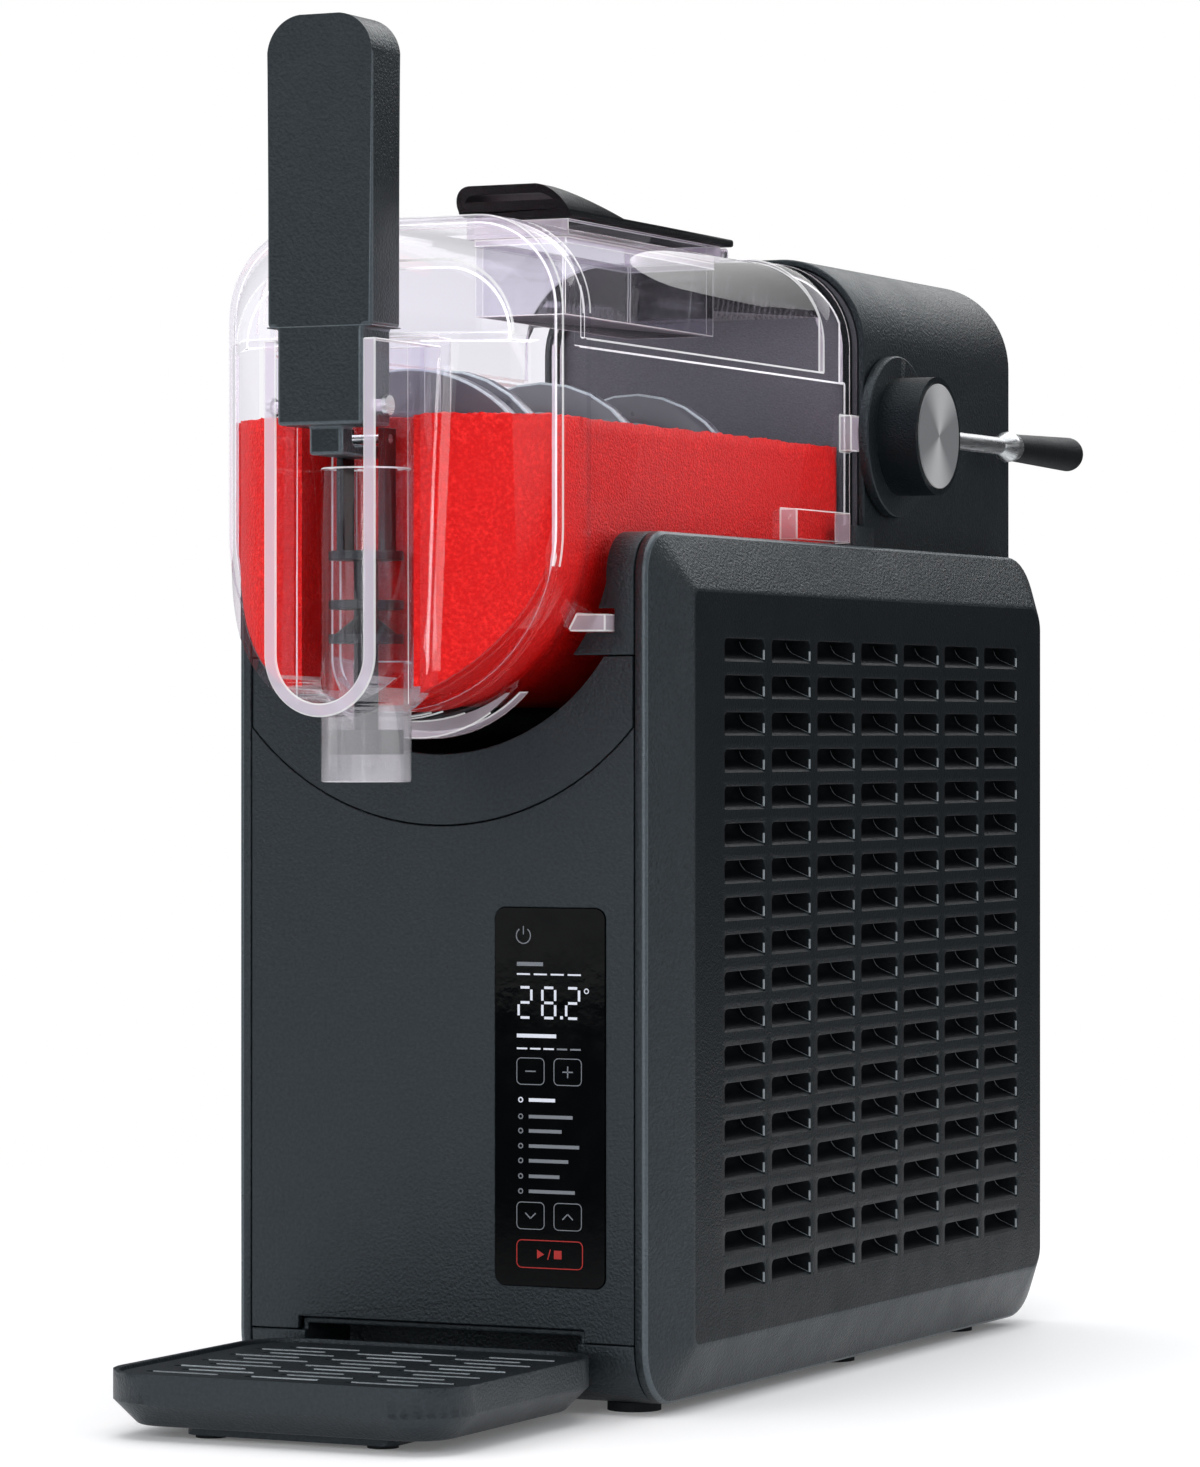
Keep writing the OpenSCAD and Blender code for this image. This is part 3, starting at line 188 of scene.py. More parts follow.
@dataclass
class Surface:
    """A material under construction: its nodes and its Principled shader."""

    tree: Tree
    shader: Node

    def add(self, kind: str, settings: Optional[dict] = None, **inputs: object) -> Node:
        """Adds a node to the material."""
        return add_node(self.tree, kind, settings, **inputs)

    def set(self, **inputs: object) -> None:
        """Sets or links inputs of the shader."""
        wire(self.tree, self.shader, **inputs)

    def pattern(self, size: float, detail: float, low: float = 0.0, high: float = 1.0) -> Socket:
        """Lays a random pattern over the piece.

        Args:
            size: size of its cells in mm.
            detail: octaves.
            low: its value where the noise is dark.
            high: its value where the noise is bright.

        Returns:
            The pattern.
        """
        spot = self.add("ShaderNodeTexCoord").outputs["Object"]
        cells = self.add("ShaderNodeTexNoise", Vector=spot, Scale=per_metre(size), Detail=detail)
        ramp = self.add("ShaderNodeMapRange", Value=cells.outputs[0], To_Min=low, To_Max=high, **NOISE_RANGE)
        return ramp.outputs[0]


@dataclass(frozen=True)
class Finish:
    """A surface finish. Each kind adds its own nodes."""

    name: str
    colour: str
    roughness: float = 0.5

    def material(self) -> bpy.types.Material:
        """Makes the finish's material on first use.

        Returns:
            The material.
        """
        name = "look_" + self.name
        found = bpy.data.materials.get(name)
        if found:
            return found
        made = bpy.data.materials.new(name)
        made.use_nodes = True
        tree = made.node_tree
        tree.nodes.clear()
        shader = add_node(tree, "ShaderNodeBsdfPrincipled", Base_Color=linear(self.colour),
                          Roughness=self.roughness)
        add_node(tree, "ShaderNodeOutputMaterial", in_0=shader.outputs[0])
        self.dress(Surface(tree, shader))
        return made

    def dress(self, surface: Surface) -> None:
        """Adds the finish's own detail to a plain surface."""


@dataclass(frozen=True)
class GrainedPlastic(Finish):
    """Moulded plastic with a spark-eroded grain: dull, with a fine sparkle and a cool sheen."""

    grain: float = 0.7143  # mm of a grit, coarser than the real 0.2 mm so that it shows
    depth: float = 0.35
    light: str = "#3a4044"
    gloss: float = 0.3
    cloud: float = 16.67  # mm over which the sheen varies
    relief: float = 0.0004

    def dress(self, surface: Surface) -> None:
        """Adds the grain, its paler grit and an uneven sheen.

        Args:
            surface: the material to add to.
        """
        mix = surface.add("ShaderNodeMix", COLOURS, in_0=surface.pattern(self.grain * 1.25, 2.0, 0.0, 0.6),
                          in_6=linear(self.colour), in_7=linear(self.light))
        relief = surface.add("ShaderNodeBump", Strength=self.depth, Distance=self.relief,
                             Height=surface.pattern(self.grain, 3.0))
        dull = surface.pattern(self.cloud, 3.0, self.roughness - 0.04, self.roughness + 0.05)
        surface.set(Specular_IOR_Level=self.gloss, Specular_Tint=linear("#dcecf6"), Roughness=dull,
                    Base_Color=mix.outputs[2], Normal=relief.outputs[0])


@dataclass(frozen=True)
class ClearPlastic(Finish):
    """Clear moulded plastic: it shows what lies behind it, with a glossy skin and paler edges."""

    ior: float = 1.0005  # near one, so that walls shown by one face don't bend the view
    clear: float = 1.0
    coat: float = 0.5
    cloud: float = 25.0  # mm of a flow mark

    def dress(self, surface: Surface) -> None:
        """Adds the clearness and the glossy skin.

        Args:
            surface: the material to add to.
        """
        surface.set(Transmission_Weight=self.clear, IOR=self.ior, Coat_Weight=self.coat, Coat_Roughness=0.03,
                    Roughness=surface.pattern(self.cloud, 2.0, self.roughness, self.roughness + 0.02))


@dataclass(frozen=True)
class Metal(Finish):
    """Brushed or drawn metal: bright, with fine streaks."""

    stretch: Point = (1.0, 1.0, 1.0)
    streak: float = 1.111  # mm of a streak's width, coarser than the real ones so that they show

    def dress(self, surface: Surface) -> None:
        """Adds the streaks.

        Args:
            surface: the material to add to.
        """
        spot = surface.add("ShaderNodeTexCoord").outputs["Object"]
        along = surface.add("ShaderNodeMapping", Vector=spot, Scale=self.stretch).outputs[0]
        streak = surface.add("ShaderNodeTexNoise", Vector=along, Scale=per_metre(self.streak), Detail=3.0)
        rough = surface.add("ShaderNodeMapRange", Value=streak.outputs[0], To_Min=self.roughness - 0.08,
                            To_Max=self.roughness + 0.1, **NOISE_RANGE)
        relief = surface.add("ShaderNodeBump", Strength=0.15, Distance=0.0001, Height=streak.outputs[0])
        surface.set(Metallic=1.0, Roughness=rough.outputs[0], Normal=relief.outputs[0])


@dataclass(frozen=True)
class TurnedMetal(Finish):
    """Face-turned steel: two bright wedges painted into its colour by angle, a painted highlight for the
    light that its rings would spread.
    """

    centre: Flat = (0.0, 0.0)
    # colour of the painted highlight
    bright: str = "#ffffff"
    turn: float = -1.25  # radians by which the painted highlight wedges are turned
    ring: float = 0.1667  # mm between tool marks, which only soften the highlight

    def dress(self, surface: Surface) -> None:
        """Adds the painted highlight wedges and the tool marks.

        Args:
            surface: the material to add to.
        """
        spot = surface.add("ShaderNodeTexCoord").outputs["Object"]
        middle = (0.0, self.centre[0] * MM, self.centre[1] * MM)
        spoke = surface.add("ShaderNodeVectorMath", {"operation": "SUBTRACT"}, in_0=spot,
                            in_1=middle).outputs[0]
        split = surface.add("ShaderNodeSeparateXYZ", in_0=spoke)
        angle = surface.add("ShaderNodeMath", {"operation": "ARCTAN2"}, in_0=split.outputs[2],
                            in_1=split.outputs[1])
        twice = surface.add("ShaderNodeMath", {"operation": "MULTIPLY_ADD"}, in_0=angle.outputs[0], in_1=2.0,
                            in_2=self.turn)
        wave = surface.add("ShaderNodeMath", {"operation": "SINE"}, in_0=twice.outputs[0])
        wedge = surface.add("ShaderNodeMapRange", Value=wave.outputs[0], From_Min=-0.4, From_Max=1.0)
        mix = surface.add("ShaderNodeMix", COLOURS, in_0=wedge.outputs[0], in_6=linear(self.colour),
                          in_7=linear(self.bright))
        radius = surface.add("ShaderNodeVectorMath", {"operation": "LENGTH"}, in_0=spoke)
        marks = surface.add("ShaderNodeTexNoise", {"noise_dimensions": "1D"}, W=radius.outputs["Value"],
                            Scale=per_metre(self.ring), Detail=2.0)
        relief = surface.add("ShaderNodeBump", Strength=0.25, Distance=0.0001, Height=marks.outputs[0])
        surface.set(Metallic=0.6, Base_Color=mix.outputs[2], Normal=relief.outputs[0])


@dataclass(frozen=True)
class Smooth(Finish):
    """Glass, paint or smooth plastic: an even gloss with a slight waviness."""

    coat: float = 0.0
    gloss: float = 0.5
    cloud: float = 8.333  # mm over which the sheen varies
    wave: float = 3.333  # mm of a wave

    def dress(self, surface: Surface) -> None:
        """Adds the gloss and the waviness.

        Args:
            surface: the material to add to.
        """
        dull = surface.pattern(self.cloud, 3.0, max(self.roughness - 0.03, 0.02), self.roughness + 0.05)
        relief = surface.add("ShaderNodeBump", Strength=0.04, Distance=0.0002,
                             Height=surface.pattern(self.wave, 2.0))
        surface.set(Specular_IOR_Level=self.gloss, Coat_Weight=self.coat, Coat_Roughness=0.05, Roughness=dull,
                    Normal=relief.outputs[0])


@dataclass(frozen=True)
class Ice(Finish):
    """Frozen drink: deep red with paler ice grains in patches."""

    grain_colour: str = "#e6261f"
    grain: float = 1.25  # mm of an ice grain
    patch: float = 22.22  # mm of a patch of grains
    crystal: float = 0.9091  # mm of the relief

    def dress(self, surface: Surface) -> None:
        """Adds the grains and their relief.

        Args:
            surface: the material to add to.
        """
        share = surface.add("ShaderNodeMath", {"operation": "MULTIPLY", "use_clamp": True},
                            in_0=surface.pattern(self.grain, 4.0, -0.6),
                            in_1=surface.pattern(self.patch, 3.0, 0.3, 0.8))
        mix = surface.add("ShaderNodeMix", COLOURS, in_0=share.outputs[0], in_6=linear(self.colour),
                          in_7=linear(self.grain_colour))
        relief = surface.add("ShaderNodeBump", Strength=0.6, Distance=0.001,
                             Height=surface.pattern(self.crystal, 4.0))
        surface.set(Specular_IOR_Level=0.15, Base_Color=mix.outputs[2], Normal=relief.outputs[0])


@dataclass(frozen=True)
class Print(Finish):
    """Print behind the control glass, lit from behind: an even glow."""

    glow: float = 0.8
    cloud: float = 1.25  # mm over which the glow varies

    def dress(self, surface: Surface) -> None:
        """Adds the glow.

        Args:
            surface: the material to add to.
        """
        mix = surface.add("ShaderNodeMix", COLOURS, in_0=surface.pattern(self.cloud, 2.0, 0.85, 1.0),
                          in_6=linear("#000000"), in_7=linear(self.colour))
        surface.set(Emission_Strength=self.glow, Emission_Color=mix.outputs[2])


@dataclass(frozen=True)
class FadingFloor(Finish):
    """Pale floor that fades into the background away from the machine."""

    near: float = 0.3
    far: float = 1.0
    cloud: float = 33.33  # mm over which the sheen varies

    def dress(self, surface: Surface) -> None:
        """Adds the fading and a slight glow.

        Args:
            surface: the material to add to.
        """
        spot = surface.add("ShaderNodeTexCoord").outputs["Object"]
        reach = surface.add("ShaderNodeVectorMath", {"operation": "LENGTH"}, in_0=spot)
        fade = surface.add("ShaderNodeMapRange", {"interpolation_type": "SMOOTHSTEP"}, From_Min=self.near,
                           From_Max=self.far, To_Min=1.0, To_Max=0.0, Value=reach.outputs["Value"])
        surface.set(Alpha=fade.outputs[0], Emission_Color=linear(self.colour), Emission_Strength=0.1,
                    Roughness=surface.pattern(self.cloud, 3.0, self.roughness, self.roughness + 0.1))


# Moulded ABS of the casing: near black, with a soft cool sheen. Its grain is drawn at 1 mm so that it shows.
CHARCOAL = GrainedPlastic("charcoal_abs", "#15191c", 0.4, grain=1.0, depth=0.42, light="#272d31",
                          gloss=0.5)
# The same ABS on the vented plate, which is turned from the light: darker with painted shade, with hardly any
# sheen.
PAINTED_SHADE_ABS = GrainedPlastic("charcoal_painted_shade", "#0c1114", 0.4, light="#151b1f", gloss=0.18)
# Rounded edges of that ABS, smoother than its faces, with a pale line along them that is a painted highlight.
PAINTED_EDGE_LIGHT = GrainedPlastic("charcoal_painted_edge_light", "#3f464a", 0.3, depth=0.1, light="#555c60", gloss=0.6)
# Thin edges with a painted highlight: pale grey lines.
PAINTED_GLINT = GrainedPlastic("painted_edge_glint", "#8d959a", 0.35, light="#aab1b5")
# ABS deep in the ducts, coloured near black as painted shade: hardly any light comes back.
DUCT_SHADE = GrainedPlastic("duct_painted_shade", "#05070a", 0.7, light="#0a0d10")
# Black ABS of the lid, the grip and the plunger: deeper and duller than the casing.
BLACK = GrainedPlastic("black_abs", "#0d0e0f", 0.45, light="#191b1d", gloss=0.22)
# ABS of the trough below the vessel: dark and flat.
LINING = GrainedPlastic("lining_abs", "#15181b", 0.6, light="#202428")
# Grey ABS behind the vessel: the mid grey that shows through its walls.
BULKHEAD = GrainedPlastic("bulkhead_abs", "#4b4950", 0.5, light="#5a585f")
# Rubber: dull black without a highlight.
RUBBER = GrainedPlastic("rubber", "#131415", 0.75, grain=1.111, light="#1c1d1e")
# Clear copolyester: no colour to speak of, with sharp highlights.
CLEAR = ClearPlastic("clear_plastic", "#f6f4fb", 0.0)
# Its rounded edges, painted with a highlight: nearly white lines.
CLEAR_PAINTED_EDGE = ClearPlastic("clear_painted_edge", "#ffffff", 0.2, clear=0.4)
# End faces of its walls, seen along the wall: pale and half clear with painted light, on small pieces and on
# the vessel.
CLEAR_PAINTED_RIM = ClearPlastic("clear_painted_rim", "#e0d6e4", 0.25, clear=0.4, coat=0.6)
CLEAR_PAINTED_SOFT_RIM = ClearPlastic("clear_painted_soft_rim", "#e6deea", 0.2, clear=0.62, coat=0.8)
# The thick tube of the spout: pale with painted reflections, and a strong gloss.
CLEAR_TUBE_PAINTED_REFLECTION = ClearPlastic("clear_tube_painted_reflection", "#e4e2e6", 0.05, clear=0.72, coat=1.0)
# Glass over a black ground: black with a faint mirror.
GLASS = Smooth("panel_glass", "#050607", 0.06, gloss=0.08)
# Drawn stainless steel: bright, with streaks along it.
STEEL = Metal("satin_steel", "#c9ccce", 0.3, stretch=(1.0, 0.06, 1.0))
# Face-turned stainless steel: two bright wedges of painted highlight that meet at its centre.
DISC = TurnedMetal("turned_steel", "#a9abad", 0.34, centre=(101.25, 333.0))
# Coated steel of the cold drum: dark, with a soft highlight.
DRUM = Smooth("drum_coat", "#3b3b42", 0.32)
# Glossy plastic of the auger: grey, a little lighter than the drum.
AUGER = Smooth("auger_plastic", "#4c4c54", 0.3, coat=0.2)
# Baked paint of the motors: black with an even satin.
PAINT = Smooth("black_paint", "#16181a", 0.35)
# Solder mask of the circuit board: green gloss.
BOARD = Smooth("board_green", "#1f4a32", 0.4)
# Bare metals inside the casing: warm yellow, warm red and a dull pale grey.
BRASS = Metal("brass", "#b08d57", 0.35)
COPPER = Metal("copper", "#b87333", 0.3)
FINS = Metal("fin_aluminium", "#b9bcbe", 0.4)
# Frozen red drink: deep red with a fine paler grain.
SLUSH = Ice("red_slush", "#b80100", 0.45)
# Matt white floor: no edge shows against the background.
FLOOR = FadingFloor("floor_white", "#fbfbfb", 0.7)
# Lit, unlit and red print behind the glass. The unlit print glows faintly too, as painted light.
INKS = {
    Ink.WHITE: Print("white_print", "#c0c4ce", 0.5, glow=0.35),
    Ink.DIM: Print("dim_print", "#6c7178", 0.5, glow=0.08),
    Ink.RED: Print("red_print", "#96140f", 0.5, glow=0.28),
}


def link(obj: Object) -> Object:
    """Links an object to the scene and returns it."""
    bpy.context.scene.collection.objects.link(obj)
    return obj


def coat(obj: Object, *finishes: Finish) -> None:
    """Adds finishes to a piece as its materials, in order."""
    for finish in finishes:
        obj.data.materials.append(finish.material())


def dressed(obj: Object, finish: Finish, body: str, slot: str) -> Object:
    """Sets a piece's material and body and logs it.

    Args:
        obj: the piece.
        finish: its finish, unless it has materials already.
        body: the CAD body that it rides on.
        slot: the record's material slot; not used.

    Returns:
        The piece.
    """
    if not obj.data.materials:
        coat(obj, finish)
    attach(obj, body)
    LOG.info("piece %s: %d faces on %s", obj.name, len(obj.data.polygons), body)
    return obj


def finished(obj: Object, finish: Finish, body: Body, slot: str) -> Object:
    """Gives a new piece its finish and its body."""
    return dressed(obj, finish, body.value, slot)


def standing_for(obj: Object, finish: Finish, node: str) -> Object:
    """Puts a piece in place of a CAD node, with the node's body."""
    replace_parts(dressed(obj, finish, frame["nodes"][node]["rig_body"], SLOTS[node]), node)
    return obj


def shade(mesh: Mesh, angle: float) -> None:
    """Smooths a mesh except at edges sharper than an angle in degrees."""
    mesh.shade_smooth()
    mesh.set_sharp_from_angle(angle=math.radians(angle))


def object_of(mesh: Mesh, name: str, angle: float) -> Object:
    """Smooths a mesh below an angle in degrees and makes an object of it."""
    shade(mesh, angle)
    return link(bpy.data.objects.new(name, mesh))


def object_from(bm: BMesh, name: str, angle: float = SMOOTH) -> Object:
    """Makes an object of an edited mesh, which is used up.

    Args:
        bm: the edited mesh.
        name: the object's name.
        angle: edges sharper than this many degrees stay sharp.

    Returns:
        The new object.
    """
    mesh = bpy.data.meshes.new(name)
    bm.to_mesh(mesh)
    bm.free()
    return object_of(mesh, name, angle)


@contextmanager
def edited(mesh: Mesh) -> Iterator[BMesh]:
    """Opens a mesh for editing and writes it back afterwards.

    Args:
        mesh: the mesh.

    Yields:
        Its editable form.
    """
    bm = bmesh.new()
    bm.from_mesh(mesh)
    bm.normal_update()
    yield bm
    bm.to_mesh(mesh)
    bm.free()


def copy_of(node: str) -> BMesh:
    """Copies a CAD node for editing, with its loose corners made one.

    Args:
        node: the CAD node.

    Returns:
        The editable copy.
    """
    bm = bmesh.new()
    bm.from_mesh(frame["nodes"][node].data)
    bmesh.ops.remove_doubles(bm, verts=bm.verts, dist=WELD)
    return bm


def cut_across(bm: BMesh, at: Vector, axis: Vector) -> list:
    """Cuts a mesh along a plane.

    Args:
        bm: the mesh.
        at: a point of the plane.
        axis: the plane's normal.

    Returns:
        The corners and edges that lie in the plane.
    """
    everything = bm.verts[:] + bm.edges[:] + bm.faces[:]
    return bmesh.ops.bisect_plane(bm, geom=everything, dist=1e-7, plane_co=at, plane_no=axis)["geom_cut"]


def mesh_object(name: str, points: Iterable[Sequence[float]], faces: Iterable[Sequence[int]]) -> Object:
    """Makes a mesh object from points in the frame and faces.

    Args:
        name: the object's name.
        points: vertices in metres.
        faces: vertex numbers of each face.

    Returns:
        The new object with its normals outward.
    """
    mesh = bpy.data.meshes.new(name)
    mesh.from_pydata([tuple(p) for p in points], [], [tuple(f) for f in faces])
    with edited(mesh) as bm:
        bmesh.ops.recalc_face_normals(bm, faces=bm.faces)
    return object_of(mesh, name, SMOOTH)


def narrow_faces(bm: BMesh, sharp: float, limit: float) -> list[bmesh.types.BMFace]:
    """Finds the faces of narrow strips, such as the end faces of walls.

    Args:
        bm: the mesh.
        sharp: edges sharper than this many degrees bound a strip.
        limit: width in mm under which a strip counts.

    Returns:
        The faces of all such strips.
    """
    found, seen = [], set()
    for seed in bm.faces:
        if seed in seen:
            continue
        patch, border, stack = [], 0.0, [seed]
        seen.add(seed)
        while stack:
            face = stack.pop()
            patch.append(face)
            for edge in face.edges:
                if edge.calc_face_angle(4.0) > math.radians(sharp):
                    border += edge.calc_length()
                    continue
                fresh = [f for f in edge.link_faces if f not in seen]
                seen.update(fresh)
                stack.extend(fresh)
        if 2 * sum(f.calc_area() for f in patch) < limit * MM * border:
            found += patch
    return found


def arc(centre: Flat, r: float, start: float, end: float, steps: int = 24) -> list[Flat]:
    """Returns points of an arc.

    Args:
        centre: its centre.
        r: its radius.
        start: its first angle in degrees.
        end: its last angle.
        steps: segments along it.

    Returns:
        Points from the first angle to the last.
    """
    turns = [math.radians(start + (end - start) * i / steps) for i in range(steps + 1)]
    return [(centre[0] + r * math.cos(a), centre[1] + r * math.sin(a)) for a in turns]


def fillet(before: Flat, corner: Flat, after: Flat, radius: float, steps: int) -> list[Flat]:
    """Rounds one corner of a profile.

    Args:
        before: point before the corner.
        corner: the corner.
        after: point after the corner.
        radius: radius of the rounding.
        steps: segments across it.

    Returns:
        Points of the arc from one side to the other.
    """
    a, c, b = Vector(before), Vector(corner), Vector(after)
    into, out = (c - a).normalized(), (b - c).normalized()
    turn = math.acos(max(-1.0, min(1.0, into.dot(out))))
    reach = radius * math.tan(turn / 2)
    centre = c + (out - into).normalized() * (radius / math.cos(turn / 2))
    first, last = ((spot - centre).normalized() for spot in (c - into * reach, c + out * reach))
    return [tuple(centre + first.slerp(last, i / steps) * radius) for i in range(steps + 1)]


def loft_faces(rings: int, count: int, base: int = 0) -> list[tuple[int, ...]]:
    """Returns the faces between closed rings of points that follow each other.

    Args:
        rings: number of rings.
        count: points in each ring.
        base: number of the first point.

    Returns:
        Point numbers of each face.
    """
    faces = []
    for start in range(base, base + (rings - 1) * count, count):
        for i in range(count):
            j = (i + 1) % count
            faces.append((start + i, start + j, start + count + j, start + count + i))
    return faces


def prisms(name: str, shapes: Iterable[tuple[Sequence[Flat], float, float]]) -> Object:
    """Makes a piece of solids that are each a flat outline drawn out along y.

    Args:
        name: name of the piece.
        shapes: outline in x and z and the two ends in y of each solid, in mm.

    Returns:
        The piece.
    """
    points, faces = [], []
    for outline, y0, y1 in shapes:
        base, n = len(points), len(outline)
        points += [place(x, y, z) for y in (y0, y1) for x, z in outline]
        faces += [tuple(range(base, base + n)), tuple(reversed(range(base + n, base + 2 * n)))]
        faces += loft_faces(2, n, base)
    return mesh_object(name, points, faces)


def plate_between(outer: Sequence[Vector], inner: Sequence[Vector], name: str) -> Object:
    """Fills a flat plate between an outer and an inner outline.

    Args:
        outer: points of the outer outline.
        inner: points of the hole.
        name: name of the plate.

    Returns:
        The plate.
    """
    bm = bmesh.new()
    edges = []
    for loop in (outer, inner):
        verts = [bm.verts.new(p) for p in loop]
        edges += [bm.edges.new((verts[i], verts[(i + 1) % len(verts)])) for i in range(len(verts))]
    bmesh.ops.triangle_fill(bm, use_beauty=True, edges=edges)
    return object_from(bm, name)


def face_outward(obj: Object, direction: Vector) -> None:
    """Turns every face of a flat piece to look along a direction."""
    with edited(obj.data) as bm:
        bmesh.ops.reverse_faces(bm, faces=[f for f in bm.faces if f.normal.dot(direction) < 0])


def joined(name: str, parts: Sequence[Object], angle: float = SMOOTH) -> Object:
    """Joins pieces into one object.

    Args:
        name: name of the result.
        parts: pieces, which are used up.
        angle: edges sharper than this many degrees stay sharp.

    Returns:
        The joined object.
    """
    bm = bmesh.new()
    for part in parts:
        bm.from_mesh(part.data)
        bpy.data.objects.remove(part)
    bmesh.ops.remove_doubles(bm, verts=bm.verts, dist=WELD / 2)
    return object_from(bm, name, angle)


def repeat(name: str, cell: Object, spots: Sequence[Vector], finish: Finish) -> Object:
    """Repeats a cell at points with Geometry Nodes and keeps the result as a plain mesh.

    Args:
        name: name of the result.
        cell: the piece to repeat, which is used up.
        spots: where each copy goes.
        finish: finish of the copies.

    Returns:
        The repeated piece.
    """
    carrier = mesh_object(name + "_points", spots, [])
    tree = bpy.data.node_groups.new(name + "_repeat", "GeometryNodeTree")
    tree.interface.new_socket("Geometry", in_out="INPUT", socket_type="NodeSocketGeometry")
    cell_in = tree.interface.new_socket("Cell", in_out="INPUT", socket_type="NodeSocketObject")
    finish_in = tree.interface.new_socket("Finish", in_out="INPUT", socket_type="NodeSocketMaterial")
    tree.interface.new_socket("Geometry", in_out="OUTPUT", socket_type="NodeSocketGeometry")
    entry = add_node(tree, "NodeGroupInput")
    source = add_node(tree, "GeometryNodeObjectInfo", Object=entry.outputs[1])
    copies = add_node(tree, "GeometryNodeInstanceOnPoints", Points=entry.outputs[0],
                      Instance=source.outputs["Geometry"])
    plain = add_node(tree, "GeometryNodeRealizeInstances", Geometry=copies.outputs[0])
    coated = add_node(tree, "GeometryNodeSetMaterial", Geometry=plain.outputs[0], Material=entry.outputs[2])
    add_node(tree, "NodeGroupOutput", in_0=coated.outputs[0])
    modifier = carrier.modifiers.new("repeat", "NODES")
    modifier.node_group = tree
    modifier[cell_in.identifier] = cell
    modifier[finish_in.identifier] = finish.material()
    mesh = bpy.data.meshes.new_from_object(carrier.evaluated_get(bpy.context.evaluated_depsgraph_get()))
    mesh.name = name
    carrier.modifiers.clear()
    bpy.data.objects.remove(carrier)
    bpy.data.objects.remove(cell)
    return object_of(mesh, name, SMOOTH)


